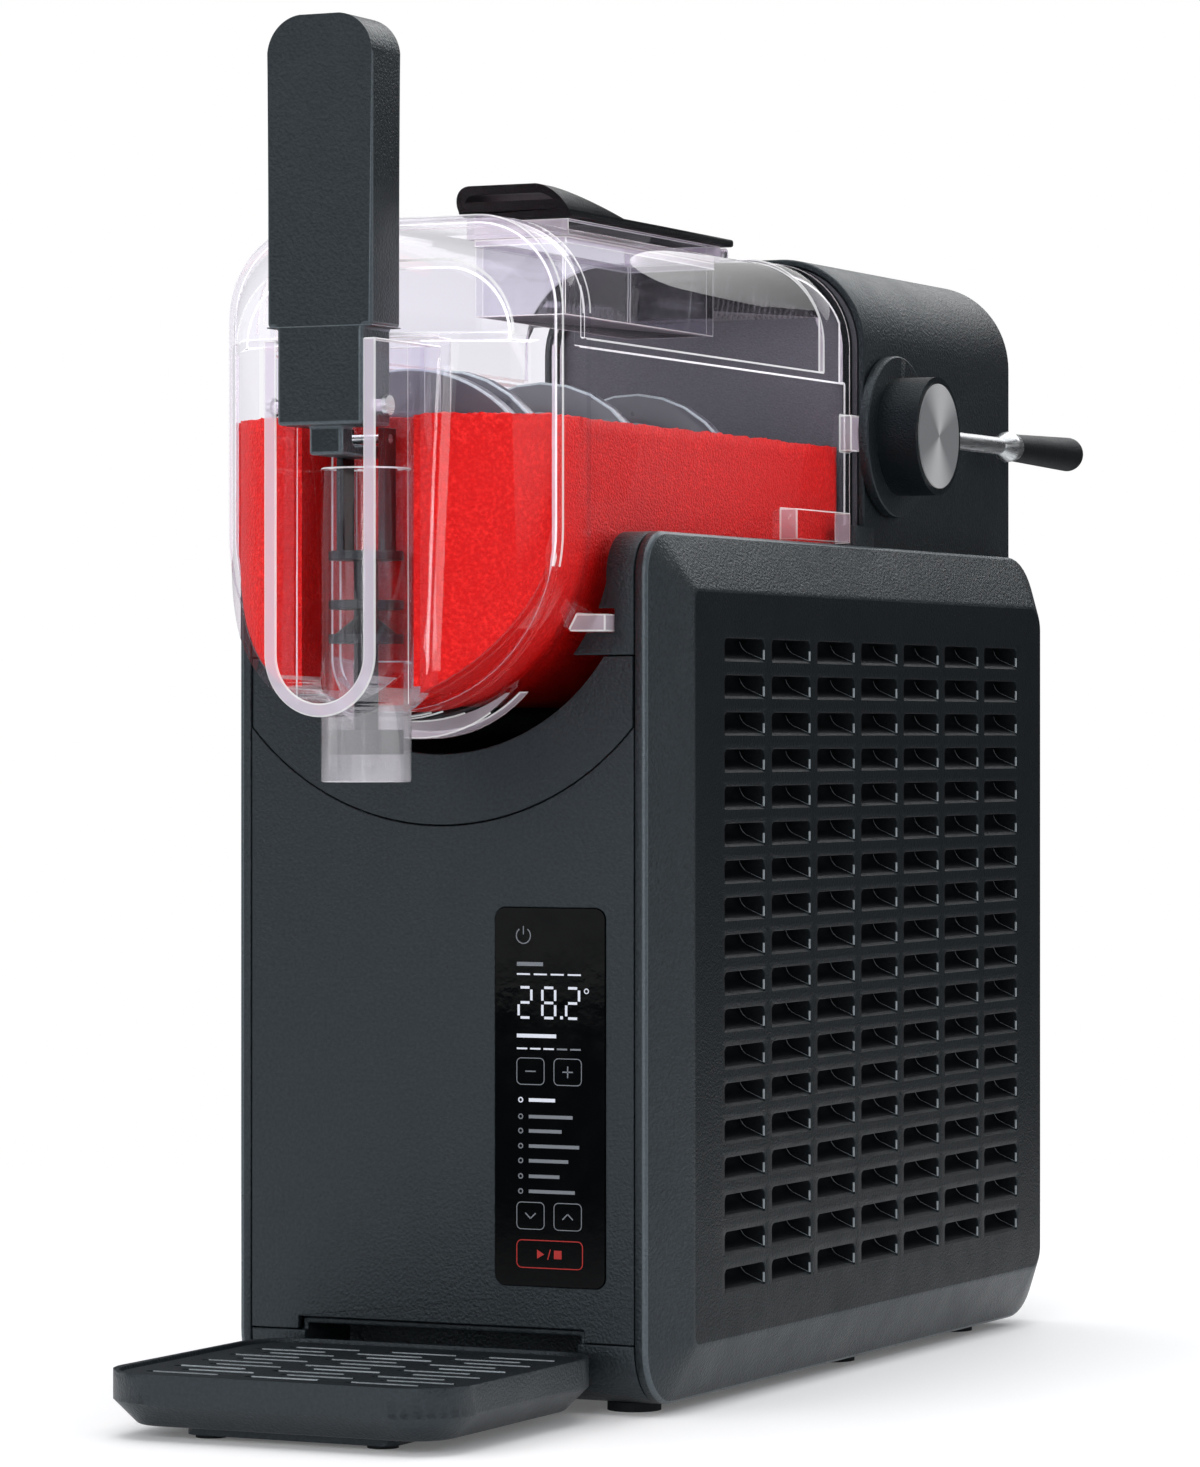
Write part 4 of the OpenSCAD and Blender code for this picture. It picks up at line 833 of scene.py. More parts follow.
@dataclass
class SideCover:
    """Vented side cover with its sloping border and ducted slots. Sizes are in mm."""

    side: int  # 1 for the right cover, -1 for the left one
    depth: float = 353.0
    low: float = 3.2
    high: float = 291.6
    seam_x: float = 71.9
    rim_x: float = 75.7
    face_x: float = 84.7
    border: float = 19.0
    wall: float = 2.5
    chamfer: float = 0.3
    rim_r: float = 1.9
    rim_steps: int = 6
    plate_r: float = 3.5
    plate_steps: int = 4
    radii: tuple[float, ...] = (20.0, 27.0, 28.0, 15.0)  # front and back below, back and front above
    corner_steps: int = 12
    columns: int = 7
    rows: int = 18
    pitch: Flat = (38.9, 12.4)
    slot: Flat = (33.0, 7.8)
    slot_r: float = 2.4
    slot_steps: int = 6
    first: Flat = (40.35, 35.8)
    worn: float = 0.25  # rounding of a slot's edge
    lip: tuple[Flat, ...] = ((0.25, 0.2), (0.6, 0.62), (0.95, 0.95), (1.5, 1.15))  # depth and rise
    duct: tuple[Flat, ...] = ((0.25, 0.12), (0.95, 0.95), (3.5, 2.0), (7.0, 3.5), (8.0, 4.3), (8.8, 5.4),
                              (9.4, 6.9))  # depth and rise of its floor
    behind: float = 0.05  # a duct stands this far off its plate
    glint: Flat = (0.16, 0.3)  # width of the painted highlight edge in front and deep in the duct
    glint_turn: float = 7.5  # depth where the wider edge begins

    @property
    def word(self) -> str:
        """Name of the side."""
        return "right" if self.side > 0 else "left"

    def spot(self, x: float, y: float, z: float) -> Vector:
        """Places a point of the right cover, mirrored for the left one."""
        return place(self.side * x, y, z)

    def on_face(self, ring: Sequence[Flat], depth: float = 0.0) -> list[Vector]:
        """Places an outline on the plate's face or some mm behind it."""
        return [self.spot(self.face_x - depth, y, z) for y, z in ring]

    def outline(self, inset: float) -> list[Flat]:
        """Draws the casing's outline in y and z.

        Args:
            inset: distance by which it is moved in.

        Returns:
            Points of the outline.
        """
        y0, y1 = inset, self.depth - inset
        z0, z1 = self.low + inset, self.high - inset
        corners = ((y0, z0, 180), (y1, z0, 270), (y1, z1, 0), (y0, z1, 90))
        points = []
        for (y, z, angle), radius in zip(corners, self.radii):
            r = max(radius - inset, 3.0)
            cy = y + (r if y == y0 else -r)
            cz = z + (r if z == z0 else -r)
            points += arc((cy, cz), r, angle, angle + 90, self.corner_steps)
        return points

    def profile(self) -> tuple[list[Flat], range]:
        """Draws the border's profile.

        Returns:
            Its points as inset and x, and the numbers of those that begin a face of the rim's rounding.
        """
        rim, plate = (0.0, self.rim_x), (self.border, self.face_x)
        lead = [(self.wall, self.seam_x), (self.chamfer, self.seam_x), (0.0, self.seam_x + self.chamfer)]
        points = (lead + fillet((0.0, self.seam_x), rim, plate, self.rim_r, self.rim_steps)
                  + fillet(rim, plate, (self.border + 9, self.face_x), self.plate_r, self.plate_steps))
        return points, range(len(lead), len(lead) + self.rim_steps)

    def field_corners(self) -> list[Flat]:
        """Works out the corners of the field of vent cells.

        Returns:
            The corners in y and z.
        """
        y0, z0 = self.first
        y1, z1 = y0 + self.columns * self.pitch[0], z0 + self.rows * self.pitch[1]
        return [(y0, z0), (y1, z0), (y1, z1), (y0, z1)]

    def slot_ring(self, raise_by: float = 0.0, grow: float = 0.0) -> list[Flat]:
        """Draws one slot's outline in its cell.

        Args:
            raise_by: distance by which its floor is raised.
            grow: distance by which its sides and top are moved out.

        Returns:
            Points of the outline, which begins with the two ends of its floor.
        """
        y0 = (self.pitch[0] - self.slot[0]) / 2 - grow
        y1 = self.pitch[0] - y0
        z0 = (self.pitch[1] - self.slot[1]) / 2 + raise_by
        z1 = (self.pitch[1] + self.slot[1]) / 2 + grow
        r = min(self.slot_r, (z1 - z0) * 0.8)
        steps = self.slot_steps
        corners = arc((y1 - r, z1 - r), r, 0, 90, steps) + arc((y0 + r, z1 - r), r, 90, 180, steps)
        return [(y0, z0), (y1, z0)] + corners

    def repeated(self, name: str, cell: Object, finish: Finish) -> Object:
        """Repeats a vent cell over the whole field.

        Args:
            name: name of the result without its side.
            cell: the cell, which is used up.
            finish: its finish.

        Returns:
            The repeated cell.
        """
        y0, z0 = self.first
        spots = [Vector((0.0, (y0 + c * self.pitch[0]) * MM, (z0 + r * self.pitch[1]) * MM))
                 for c in range(self.columns) for r in range(self.rows)]
        return repeat(name + "_" + self.word, cell, spots, finish)

    def build(self) -> None:
        """Builds the border, the vent field and the ducts in painted shade, and their edges with a painted
        highlight.
        """
        standing_for(self.shell(), CHARCOAL, "side_cover_" + self.word)
        finished(self.grille(), PAINTED_SHADE_ABS, Body.CHASSIS, "charcoal_plastic")
        finished(self.ducts(), DUCT_SHADE, Body.CHASSIS, "black_plastic")
        finished(self.glints(), PAINTED_GLINT, Body.CHASSIS, "charcoal_plastic")

    def shell(self) -> Object:
        """Makes the cover's rim, slope and plate round the vents.

        Returns:
            The shell, with its rounded rim in a painted highlight and its plate in painted shade.
        """
        profile, rounding = self.profile()
        rings = [self.outline(inset) for inset, _ in profile]
        points = [self.spot(x, y, z) for (_, x), ring in zip(profile, rings) for y, z in ring]
        count = len(rings[0])
        border = mesh_object("border", points, loft_faces(len(rings), count))
        self.outward(border)
        for face in border.data.polygons:
            face.material_index = int(face.index // count in rounding)
        plate = plate_between(self.on_face(rings[-1]), self.on_face(self.field_corners()), "plate")
        face_outward(plate, Vector((self.side, 0, 0)))
        for face in plate.data.polygons:
            face.material_index = 2
        shell = joined("cover_shell_" + self.word, (border, plate), 50.0)
        # plain ABS, the rim's painted highlight and the plate's painted shade
        coat(shell, CHARCOAL, PAINTED_EDGE_LIGHT, PAINTED_SHADE_ABS)
        return shell

    def outward(self, obj: Object) -> None:
        """Turns an open shell so that its plate side looks away from the machine.

        Args:
            obj: the shell.
        """
        total = sum((p.normal.x * p.area for p in obj.data.polygons), 0.0)
        if total * self.side < 0:
            obj.data.flip_normals()

    def grille(self) -> Object:
        """Makes the plate between the slots, with each slot's worn edge and lower lip.

        Returns:
            The plate.
        """
        cell_box = [(0, 0), (self.pitch[0], 0), self.pitch, (0, self.pitch[1])]
        (y0, floor), (y1, _) = self.slot_ring()[:2]
        ring = [(y0, floor), (y1, floor)] + self.slot_ring(grow=self.worn)[2:]
        web = plate_between(self.on_face(cell_box), self.on_face(ring), "web")
        face_outward(web, Vector((self.side, 0, 0)))
        edge_rings = [(ring, 0.0), (self.slot_ring(0.12, 0.07), 0.12), (self.slot_ring(self.worn), 0.3)]
        points = [spot for outline, depth in edge_rings for spot in self.on_face(outline, depth)]
        edge = mesh_object("edge", points, loft_faces(len(edge_rings), len(ring)))
        self.outward(edge)
        points = [self.spot(self.face_x - d, y, floor + h) for d, h in self.lip for y in (y0, y1)]
        quads = [(i, i + 1, i + 3, i + 2) for i in range(0, 2 * len(self.lip) - 2, 2)]
        lip = mesh_object("lip", points, quads)
        face_outward(lip, Vector((0, 0, 1)))
        return self.repeated("vent_grille", joined("web_cell", (web, edge, lip)), PAINTED_SHADE_ABS)

    def ducts(self) -> Object:
        """Makes the duct behind each slot, with its rising floor, dark with painted shade.

        Returns:
            The ducts.
        """
        rings = [self.on_face(self.slot_ring(h), d + self.behind) for d, h in self.duct]
        count = len(rings[0])
        faces = loft_faces(len(rings), count)
        faces.append(tuple(range((len(rings) - 1) * count, len(rings) * count)))
        cell = mesh_object("duct_cell", [spot for ring in rings for spot in ring], faces)
        cell.data.flip_normals()
        return self.repeated("vent_ducts", cell, DUCT_SHADE)

    def glints(self) -> Object:
        """Makes the thin edges along each duct's floor and beside its slot, bright with a painted highlight.

        Returns:
            The edges.
        """
        end, base = self.slot_ring()[1]
        path = self.duct[1:]
        points = []
        for d, h in path:
            width = self.glint[d >= self.glint_turn]
            for dy, dz in ((0.0, 0.02), (-width, 0.05), (-0.02, width)):
                points.append(self.spot(self.face_x - d, end - self.behind + dy, base + h + dz))
        faces = loft_faces(len(path), 3) + loft_faces(3, 3, len(points))
        for z in (0.9, 2.5, 4.2):
            for d, dy in ((0.12, 0.0), (0.5, -0.22), (0.9, 0.0)):
                points.append(self.spot(self.face_x - d, end + dy, base + z))
        return self.repeated("vent_glints", mesh_object("glint_cell", points, faces), PAINTED_GLINT)


@dataclass
class Rounded:
    """A CAD node that is shown with its edges rounded. Sizes are in mm and degrees."""

    node: str
    finish: Finish
    width: float = 0.4
    segments: int = 2
    sharp: float = 28.0  # edges sharper than this are rounded
    # edge and rim finishes, where given, paint highlights on the roundings and on the narrow rims
    edge: Optional[Finish] = None
    rim: Optional[Finish] = None
    rim_width: float = 5.5
    hidden: tuple[Box, ...] = ()
    core: Optional[Flat] = None
    patches: tuple[tuple[Box, Finish], ...] = ()
    shadow: bool = True
    flat: float = 0.4  # faces closer to flat than this are one
    smooth: float = 40.0
    many: int = 24  # a face with more corners than this stays flat

    def build(self) -> None:
        """Makes the rounded piece in place of its node, with its roundings and rims in their own finishes,
        which paint highlights where given.
        """
        piece = self.skin()
        coat(piece, self.finish, self.edge or self.finish, self.rim or self.finish)
        for box in self.hidden:
            self.leave_out(piece, box)
        if self.core:
            self.single_skin(piece)
        for index, (box, finish) in enumerate(self.patches, len(piece.data.materials)):
            coat(piece, finish)
            for face in piece.data.polygons:
                if inside(face.center, box):
                    face.material_index = index
        piece.visible_shadow = self.shadow
        standing_for(piece, self.finish, self.node)

    def skin(self) -> Object:
        """Copies the node and rounds its sharp edges, except beside faces too narrow for it.

        Returns:
            The copy, whose roundings have material 1 and whose rims have material 2.
        """
        bm = copy_of(self.node)
        bmesh.ops.dissolve_limit(bm, angle_limit=math.radians(self.flat), verts=bm.verts, edges=bm.edges)
        for face in bm.faces:
            face.material_index = 0
        for face in narrow_faces(bm, self.sharp, self.rim_width if self.rim else 0.0):
            face.material_index = 2
        limit = 1.1 * self.width * MM
        slivers = {f for f in bm.faces if 2 * f.calc_area() < limit * f.calc_perimeter()}
        edges = [e for e in bm.edges if len(e.link_faces) == 2 and not slivers.intersection(e.link_faces)
                 and e.calc_face_angle(0.0) > math.radians(self.sharp)]
        bmesh.ops.bevel(bm, geom=edges, offset=self.width * MM, offset_type="OFFSET", segments=self.segments,
                        profile=0.5, material=1, affect="EDGES", clamp_overlap=False, miter_outer="ARC",
                        miter_inner="SHARP")
        piece = object_from(bm, self.node + "_skin", self.smooth)
        mesh = piece.data
        for face in mesh.polygons:
            if face.loop_total > self.many:
                for corner in face.loop_indices:
                    mesh.edges[mesh.loops[corner].edge_index].use_edge_sharp = True
        return piece

    def single_skin(self, piece: Object) -> None:
        """Keeps only the outer face of wide clear walls, so that few layers lie behind each other.

        Args:
            piece: the piece, whose walls stand round a core between two heights on the middle plane.
        """
        low, high = (z * MM for z in self.core)
        with edited(piece.data) as bm:
            inner = []
            for face in bm.faces:
                centre = face.calc_center_median()
                away = centre - Vector((0.0, centre.y, min(max(centre.z, low), high)))
                if face.material_index == 0 and face.normal.dot(away) < -0.3 * away.length:
                    inner.append(face)
            bmesh.ops.delete(bm, geom=inner, context="FACES")

    @staticmethod
    def leave_out(piece: Object, box: Box) -> None:
        """Takes away the faces inside a box, where clear walls lie against each other or a step isn't seen.

        Args:
            piece: the piece.
            box: the box.
        """
        with edited(piece.data) as bm:
            within = [f for f in bm.faces if all(inside(v.co, box) for v in f.verts)]
            bmesh.ops.delete(bm, geom=within, context="FACES")


@dataclass
class Seam:
    """Thin raised line round a CAD node where a plane meets it. Sizes are in mm."""

    node: str
    at: Point
    across: Point
    finish: Finish
    width: float = 0.4
    proud: float = 0.12
    above: float = 0.0  # the line is left out below this height

    def build(self) -> None:
        """Makes the line from the node's outline in the plane."""
        bm = copy_of(self.node)
        axis = Vector(self.across)
        cut = cut_across(bm, place(*self.at), axis)
        bm.normal_update()
        points, faces = [], []
        for edge in (e for e in cut if isinstance(e, bmesh.types.BMEdge)):
            if min(v.co.z for v in edge.verts) < self.above * MM:
                continue
            base = len(points)
            for rise, out in ((-0.5, 0.0), (0.0, self.proud), (0.5, 0.0)):
                for vertex in edge.verts:
                    away = (vertex.normal - axis * axis.dot(vertex.normal)).normalized()
                    points.append(vertex.co + (away * out + axis * rise * self.width) * MM)
            flip = (points[base + 1] - points[base]).cross(axis).dot(edge.verts[0].normal) < 0
            for quad in ((0, 1, 3, 2), (2, 3, 5, 4)):
                faces.append([base + i for i in (reversed(quad) if flip else quad)])
        bm.free()
        mesh = bpy.data.meshes.new(self.node + "_seam")
        mesh.from_pydata(points, [], faces)
        line = link(bpy.data.objects.new(self.node + "_seam", mesh))
        dressed(line, self.finish, frame["nodes"][self.node]["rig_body"], SLOTS[self.node])


@dataclass
class Slush:
    """Frozen drink in the vessel, with a rough surface and a fuzzy level. Sizes are in mm."""

    steps: Point = (4.0, 2.0, 4.0)
    level: float = 328.0
    rough: float = 0.3
    rough_scale: float = 420.0  # per metre: dents of 2.4 mm
    fuzz: float = 0.9
    fuzz_scale: float = 450.0  # per metre: bumps of 2.2 mm
    half: float = 23.0  # half the width beside the tap
    bore: float = 20.5  # half the width that the tap leaves free
    sink: float = 0.5  # the slush beside the tap ends this far below the level
    foot: float = 240.0
    round_r: float = 57.0  # radius of its underside round the drum's axis
    fronts: Point = (-58.0, -37.5, -35.3)  # front, middle and back of the slush beside the tap

    def build(self) -> None:
        """Makes the slush from its CAD solid, cut into small faces and roughened."""
        bm = copy_of("slush")
        for axis, step in enumerate(self.steps):
            self.slice(bm, axis, step * MM)
        bm.normal_update()
        surface = self.level * MM - 0.0001
        for vertex, move in [(v, self.moved(v, surface)) for v in bm.verts]:
            vertex.co += move
        standing_for(object_from(bm, "slush_fill", 50.0), SLUSH, "slush")
        finished(self.collar(), SLUSH, Body.VESSEL, SLOTS["slush"])

    def moved(self, vertex: bmesh.types.BMVert, surface: float) -> Vector:
        """Works out how far a corner is moved to roughen the slush.

        Args:
            vertex: the corner.
            surface: height in metres above which a corner belongs to the level.

        Returns:
            The move.
        """
        spot = vertex.co
        dip = 0.5 + 0.5 * noise.fractal(spot * self.rough_scale, 1.0, 2.0, 3)
        move = vertex.normal * (-self.rough * MM * dip)
        if spot.z > surface:
            below = Vector((spot.x, spot.y, 0))
            move.z = self.fuzz * MM * noise.fractal(below * self.fuzz_scale, 1.0, 2.0, 3)
        return move

    def collar(self) -> Object:
        """Makes the slush that shows behind and beside the tap's clear walls.

        Returns:
            The slush there.
        """
        front, middle, back = self.fronts
        half, bore, foot, top, steps = self.half, self.bore, self.foot, self.level - self.sink, 12
        across = [half - 2 * half * i / steps for i in range(steps + 1)]
        under = [(x, AXIS_Z - math.sqrt(self.round_r ** 2 - x ** 2)) for x in across]
        pieces = [([(-half, top), (half, top)] + under, middle, back)]
        for s in (-1, 1):
            side = [(s * bore, foot), (s * half, foot), (s * half, top), (s * bore, top)]
            pieces.append((side, front, middle))
        return prisms("slush_collar", pieces)

    @staticmethod
    def slice(bm: BMesh, axis: int, step: float) -> None:
        """Cuts a mesh along planes across one axis.

        Args:
            bm: the mesh.
            axis: 0, 1 or 2 for x, y or z.
            step: distance between the planes in metres.
        """
        normal = Vector([float(i == axis) for i in range(3)])
        reach = [v.co[axis] for v in bm.verts]
        at = min(reach) + step
        while at < max(reach) - step / 2:
            cut_across(bm, normal * at, normal)
            at += step


@dataclass
class ControlPanel:
    """Print on the control glass. Sizes are in mm, places are shares of the glass from its left and top."""

    left: float = 20.9
    top: float = 167.1
    width: float = 40.2
    height: float = 124.8
    front: float = -0.3
    raised: float = 0.06
    sunk: float = 0.01
    margin: float = 0.2  # left end of the print
    second: float = 0.54  # left end of the right-hand keys
    key_width: float = 0.25
    key_r: float = 1.6
    hair: float = 0.28  # width of a key's outline
    thin: float = 0.35  # width of an icon's lines
    sign: float = 0.4  # width of the lines of a key's sign
    sign_half: float = 1.9  # half the width of a key's sign
    dash: float = 0.55  # height of a dash
    number: tuple[int, ...] = (2, 8, 2)
    digit_size: Flat = (4.7, 0.85)  # width of a digit and of its lines
    digit_pitch: Flat = (8.7, 8.75)  # left of the first digit and the step to the next
    rows: tuple[Flat, ...] = ((0.508, 0.24), (0.552, 0.4), (0.59, 0.3), (0.63, 0.46), (0.669, 0.36),
                              (0.71, 0.28), (0.75, 0.42))  # place and length of each programme's bar
    shapes: dict[Ink, Strokes] = field(default_factory=lambda: {ink: [] for ink in Ink})

    def build(self) -> None:
        """Draws the print and makes one piece of each ink."""
        for part in (self.power, self.readout, self.level, self.programmes, self.arrows, self.start):
            part()
        back, front = self.front + self.sunk, self.front - self.raised
        for ink, finish in INKS.items():
            printed = prisms("panel_print_" + ink.value, [(shape, back, front) for shape in self.shapes[ink]])
            finished(printed, finish, Body.CHASSIS, "black_glass")

    def power(self) -> None:
        """Draws the power icon, its bar and a row of dashes."""
        x, z = self.at(0.26, 0.073)
        self.stroke(Ink.DIM, arc((x, z), 2.6, 125, 415), self.thin)
        self.stroke(Ink.DIM, [(x, z + 0.4), (x, z + 3.2)], self.thin)
        self.bar(Ink.DIM, self.margin, 0.24, 0.148, 1.3)
        for i in range(4):
            self.bar(Ink.WHITE, self.margin + 0.155 * i, 0.12, 0.175, self.dash)

    def readout(self) -> None:
        """Draws the number with its point and the ring of its unit."""
        (_, low), (_, high) = self.at(0, 0.294), self.at(0, 0.206)
        first, step = self.digit_pitch
        for i, value in enumerate(self.number):
            self.digit(value, self.left + first + step * i, low + 0.5, high - low - 1.0)
        point, unit = self.left + 24.5, self.left + 33.6
        self.stroke(Ink.WHITE, [(point, low + 0.2), (point, low + 1.2)], 1.0)
        self.stroke(Ink.WHITE, arc((unit, high - 1.4), 0.75, 0, 360, 16), self.thin)

    def level(self) -> None:
        """Draws the level: a bar, five dashes and the keys for less and more."""
        self.bar(Ink.WHITE, self.margin, 0.36, 0.338, 1.25)
        for i in range(5):
            self.bar(Ink.WHITE if i < 3 else Ink.DIM, self.margin + 0.122 * i, 0.095, 0.372, self.dash)
        for (x, z), more in zip(self.key_pair((0.397, 0.467)), (False, True)):
            self.stroke(Ink.DIM, [(x - self.sign_half, z), (x + self.sign_half, z)], self.sign)
            if more:
                self.stroke(Ink.DIM, [(x, z - self.sign_half), (x, z + self.sign_half)], self.sign)

    def programmes(self) -> None:
        """Draws a ring and a bar for each programme, the first one lit."""
        for row, (v, length) in enumerate(self.rows):
            ink = Ink.DIM if row else Ink.WHITE
            self.bar(ink, 0.31, length, v, 1.15)
            self.stroke(ink, arc(self.at(0.235, v), 0.75, 0, 360, 12), self.sign)

    def arrows(self) -> None:
        """Draws the keys for down and up."""
        for (x, z), tip in zip(self.key_pair((0.779, 0.85)), (-0.9, 0.9)):
            path = [(x - self.sign_half, z - tip), (x, z + tip), (x + self.sign_half, z - tip)]
            self.stroke(Ink.DIM, path, self.sign)

    def start(self) -> None:
        """Draws the start key with its triangle, stroke and square."""
        x, z = self.key(Ink.RED, (self.margin, 0.8), (0.879, 0.952), 1.8, 0.32)
        self.shapes[Ink.RED] += [
            [(x - 4.6, z - 1.5), (x - 2.0, z), (x - 4.6, z + 1.5)],
            [(x + 1.6, z - 1.4), (x + 4.4, z - 1.4), (x + 4.4, z + 1.4), (x + 1.6, z + 1.4)],
        ]
        self.stroke(Ink.RED, [(x - 0.7, z - 1.7), (x + 0.3, z + 1.7)], self.thin)

    def at(self, u: float, v: float) -> Flat:
        """Turns a place on the glass into x and z."""
        return self.left + self.width * u, self.top - self.height * v

    def stroke(self, ink: Ink, path: Sequence[Flat], width: float) -> None:
        """Draws a line along a path.

        Args:
            ink: its ink.
            path: points in x and z.
            width: width of the line.
        """
        for (x0, z0), (x1, z1) in zip(path, path[1:]):
            length = math.hypot(x1 - x0, z1 - z0) or 1.0
            nx, nz = -(z1 - z0) / length * width / 2, (x1 - x0) / length * width / 2
            quad = [(x0 - nx, z0 - nz), (x1 - nx, z1 - nz), (x1 + nx, z1 + nz), (x0 + nx, z0 + nz)]
            self.shapes[ink].append(quad)

    def bar(self, ink: Ink, u: float, length: float, v: float, thick: float) -> None:
        """Draws a level bar from a place to the right."""
        self.stroke(ink, [self.at(u, v), self.at(u + length, v)], thick)

    def key(self, ink: Ink, sides: Flat, ends: Flat, r: float, line: float) -> Flat:
        """Draws a key's outline with round corners.

        Args:
            ink: its ink.
            sides: its left and right side as shares of the glass.
            ends: its top and bottom.
            r: radius of its corners.
            line: width of the outline.

        Returns:
            Its centre in x and z.
        """
        (x0, z1), (x1, z0) = self.at(sides[0], ends[0]), self.at(sides[1], ends[1])
        corners = ((x1 - r, z1 - r), (x0 + r, z1 - r), (x0 + r, z0 + r), (x1 - r, z0 + r))
        path = [spot for i, corner in enumerate(corners) for spot in arc(corner, r, 90 * i, 90 * i + 90, 6)]
        self.stroke(ink, path + path[:1], line)
        return (x0 + x1) / 2, (z0 + z1) / 2

    def key_pair(self, ends: Flat) -> Iterator[Flat]:
        """Draws two dim keys beside each other and yields the centre of each."""
        for u in (self.margin, self.second):
            yield self.key(Ink.DIM, (u, u + self.key_width), ends, self.key_r, self.hair)

    def digit(self, value: int, x: float, z: float, h: float) -> None:
        """Draws one digit of the readout from seven bars.

        Args:
            value: the digit.
            x: its left side.
            z: its lower end.
            h: its height.
        """
        w, line = self.digit_size
        lit = ("abcdef", "bc", "abged", "abgcd", "fgbc", "afgcd", "afgedc", "abc", "abcdefg", "abcdfg")[value]
        gap, mid = 0.7, z + h / 2
        right, high = x + w, z + h
        bars = {"a": ((x + gap, high), (right - gap, high)), "b": ((right, high - gap), (right, mid + gap)),
                "c": ((right, mid - gap), (right, z + gap)), "d": ((x + gap, z), (right - gap, z)),
                "e": ((x, mid - gap), (x, z + gap)), "f": ((x, high - gap), (x, mid + gap)),
                "g": ((x + gap, mid), (right - gap, mid))}
        for name in lit:
            self.stroke(Ink.WHITE, bars[name], line)


@dataclass(frozen=True)
class Lamp:
    """A soft rectangular lamp. Places and sizes are in mm of the drawing, its power is in watts."""

    name: str
    at: Point
    aim: Point
    size: Flat
    power: float

    def build(self) -> None:
        """Makes the lamp and hides it from the camera."""
        data = bpy.data.lights.new(self.name, "AREA")
        data.shape = "RECTANGLE"
        data.size, data.size_y = self.size[0] * MM, self.size[1] * MM
        data.energy = self.power
        lamp = link(bpy.data.objects.new(self.name, data))
        lamp.location = place(*self.at)
        lamp.rotation_euler = (place(*self.aim) - place(*self.at)).to_track_quat("-Z", "Y").to_euler()
        lamp.visible_camera = False


@dataclass
class Studio:
    """Camera, lights, floor and background."""

    azimuth: float = 25.63
    eye: Point = (859.2, -1667.3, 224.8)
    lens: float = 138.11
    fill: float = 0.42
    mirrored: float = 0.08
    sky: tuple[float, ...] = (0.93, 0.95, 1.0, 1.0)
    white: tuple[float, ...] = (1.0, 1.0, 1.0, 1.0)
    floor_half: float = 6000.0
    lamps: tuple[Lamp, ...] = (
        Lamp("top", (-150, 120, 2000), (0, 120, 200), (2400, 2200), 34.0),
        Lamp("front_left", (-1000, -1900, 800), (0, 0, 200), (1600, 1600), 12.0),
        Lamp("front", (700, -2300, 1500), (0, 0, 250), (900, 900), 5.0),
        Lamp("right", (2000, 600, 500), (80, 170, 150), (1200, 1400), 6.5),
        Lamp("back", (250, 2200, 1650), (0, 150, 300), (2200, 1000), 18.0),
        Lamp("strip", (520, -1950, 420), (0, -40, 300), (70, 1500), 4.0),
        Lamp("strip_soft", (760, -1950, 420), (0, -40, 300), (220, 1500), 6.0),
    )

    def build(self) -> None:
        """Makes the whole studio."""
        self.camera()
        self.floor()
        self.world()
        for lamp in self.lamps:
            lamp.build()

    def camera(self) -> None:
        """Makes the camera at the photo's view."""
        data = bpy.data.cameras.new("camera")
        data.lens = self.lens
        data.clip_end = 50.0
        camera = link(bpy.data.objects.new("camera", data))
        camera.location = place(*self.eye)
        turn = math.radians(self.azimuth)
        ahead = Vector((-math.sin(turn), math.cos(turn), 0.0))
        camera.rotation_euler = ahead.to_track_quat("-Z", "Y").to_euler()
        bpy.context.scene.camera = camera

    def floor(self) -> None:
        """Makes the pale floor."""
        half = self.floor_half
        corners = [place(x, y, 0.0) for x, y in ((-half, -half), (half, -half), (half, half), (-half, half))]
        floor = mesh_object("floor", corners, [(0, 1, 2, 3)])
        coat(floor, FLOOR)

    def world(self) -> None:
        """Makes a background that is white to the eye and dimmer as a light and in mirrors."""
        scene = bpy.context.scene
        scene.view_settings.view_transform = "Standard"
        scene.world = bpy.data.worlds.new("studio")
        scene.world.use_nodes = True
        tree = scene.world.node_tree
        tree.nodes.clear()
        ray = add_node(tree, "ShaderNodeLightPath").outputs
        around, mirrored, seen = (
            add_node(tree, "ShaderNodeBackground", Color=colour, Strength=strength).outputs[0]
            for colour, strength in ((self.sky, self.fill), (self.sky, self.mirrored), (self.white, 1.0)))
        direct = add_node(tree, "ShaderNodeMath", {"operation": "MAXIMUM"}, in_0=ray["Is Camera Ray"],
                          in_1=ray["Is Transmission Ray"])
        unseen = add_node(tree, "ShaderNodeMixShader", in_0=ray["Is Glossy Ray"], in_1=around, in_2=mirrored)
        mix = add_node(tree, "ShaderNodeMixShader", in_0=direct.outputs[0], in_1=unseen.outputs[0], in_2=seen)
        add_node(tree, "ShaderNodeOutputWorld", in_0=mix.outputs[0])


@dataclass
class Plain:
    """CAD nodes that keep their shape and get a finish."""

    finishes: dict[Finish, tuple[str, ...]]
    smooth: float = 30.0

    def build(self) -> None:
        """Gives each node its finish."""
        for finish, nodes in self.finishes.items():
            for node in nodes:
                obj = frame["nodes"][node]
                obj.data.materials.clear()
                coat(obj, finish)
                shade(obj.data, self.smooth)
                LOG.info("node %s in %s", node, finish.name)


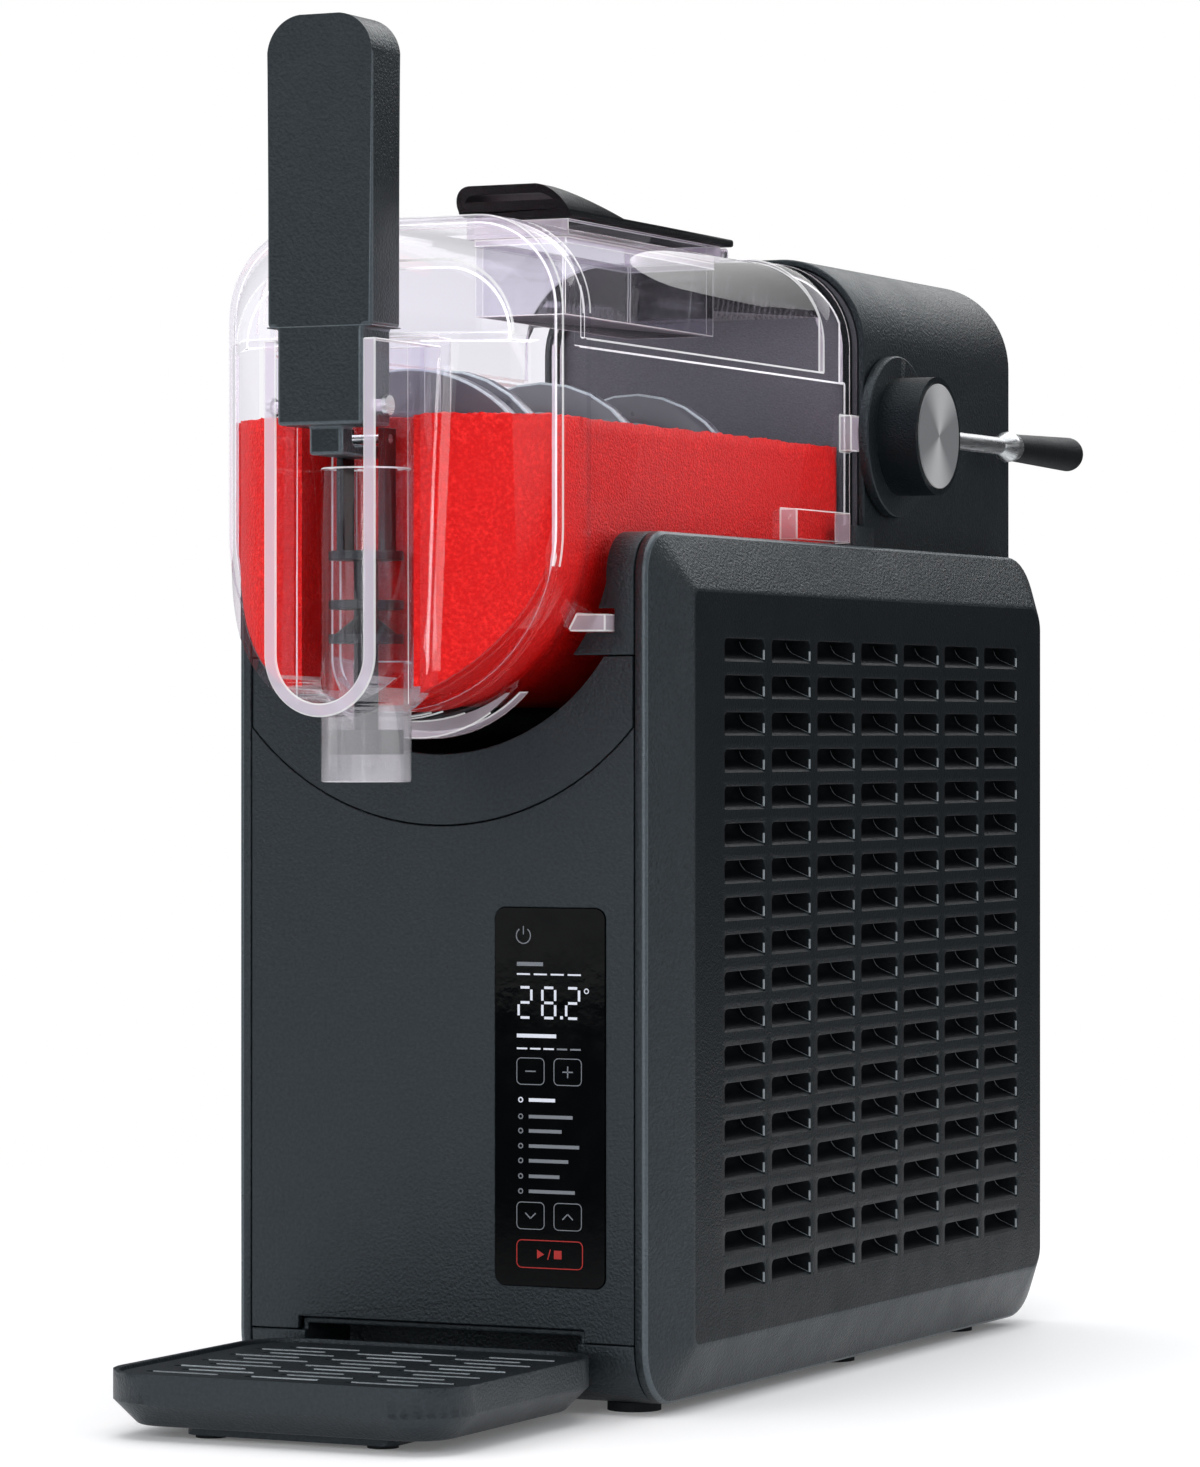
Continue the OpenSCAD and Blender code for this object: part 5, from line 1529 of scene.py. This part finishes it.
def build_machine() -> None:
    """Builds every piece of the machine."""
    pieces = [
        Plain({
            LINING: ("saddle_trough",),
            BULKHEAD: ("bulkhead",),
            BLACK: ("fan_shroud", "fan_blade", "auger_cap", "power_inlet"),
            CHARCOAL: ("rear_panel",),
            RUBBER: ("rubber_feet", "compressor_grommets", "vessel_gasket", "plunger_seals", "tray_pads"),
            GLASS: ("control_glass",),
            BOARD: ("control_board",),
            PAINT: ("compressor", "fan_motor", "gear_motor"),
            FINS: ("condenser",),
            STEEL: ("drive_shaft", "rear_screws", "handle_pin", "lid_pin", "plunger_pin", "lock_spindle",
                    "lever_rod"),
            DISC: ("lock_disc",),
            BRASS: ("shaft_bush",),
            DRUM: ("evaporator_drum",),
            COPPER: ("evaporator_coil", "refrigerant_lines"),
        }),
        SideCover(1),
        SideCover(-1),
        Rounded("base_pan", CHARCOAL, 0.5),
        Rounded("front_panel", CHARCOAL, 0.35),
        Rounded("top_deck", CHARCOAL, 0.5),
        Rounded("drive_tower", CHARCOAL, 0.6),
        # the handle's rounded edges have a painted highlight
        Rounded("tap_handle", CHARCOAL, 1.2, 3, edge=PAINTED_EDGE_LIGHT),
        Rounded("fill_lid", BLACK, 0.8, 3),
        Rounded("lock_flange", CHARCOAL, 0.6),
        # the hub takes the darker finish that is painted shade on the vents' plate, with a painted highlight
        # on its rounded edges
        Rounded("lock_hub", PAINTED_SHADE_ABS, 1.2, 3, edge=PAINTED_EDGE_LIGHT),
        Rounded("lever_ferrule", STEEL, 0.3),
        Rounded("lever_grip", BLACK, 0.8),
        Rounded("plunger", BLACK, 0.4),
        Rounded("condensation_catch", CHARCOAL, 0.35),
        Rounded("drip_tray", CHARCOAL, 0.8, 3, sharp=40.0),
        # the grate's and the auger's rounded edges have a painted highlight
        Rounded("drip_grate", CHARCOAL, 0.5, edge=PAINTED_GLINT),
        Rounded("auger", AUGER, 0.8, edge=PAINTED_GLINT),
        # the clear pieces' rounded edges, rims and spout are pale with painted light
        Rounded("vessel", CLEAR, 0.5, edge=CLEAR_PAINTED_EDGE, rim=CLEAR_PAINTED_SOFT_RIM, hidden=(TAP_WALLS, HOOD_STEP),
                core=(AXIS_Z, HOOD_Z), patches=((HOOD_FOOT, CLEAR), (NOSE_FOOT, CLEAR)), shadow=False),
        Rounded("tap_housing", CLEAR, 0.5, edge=CLEAR_PAINTED_EDGE, rim=CLEAR_PAINTED_RIM, patches=((SPOUT, CLEAR_TUBE_PAINTED_REFLECTION),),
                shadow=False),
        Rounded("fill_funnel", CLEAR, 0.3, edge=CLEAR_PAINTED_EDGE, rim=CLEAR_PAINTED_RIM, shadow=False),
        # both seams are thin lines with a painted highlight
        Seam("tap_handle", (0.0, 0.0, 355.0), (0.0, 0.0, 1.0), PAINTED_EDGE_LIGHT),
        Seam("vessel", (0.0, -13.0, 0.0), (0.0, 1.0, 0.0), CLEAR_PAINTED_EDGE, width=1.1, proud=0.05, above=354.5),
        Slush(),
        ControlPanel(),
    ]
    for piece in pieces:
        piece.build()


def main() -> None:
    """Builds the studio and the machine."""
    Studio().build()
    build_machine()


if __name__ == "__main__":
    main()
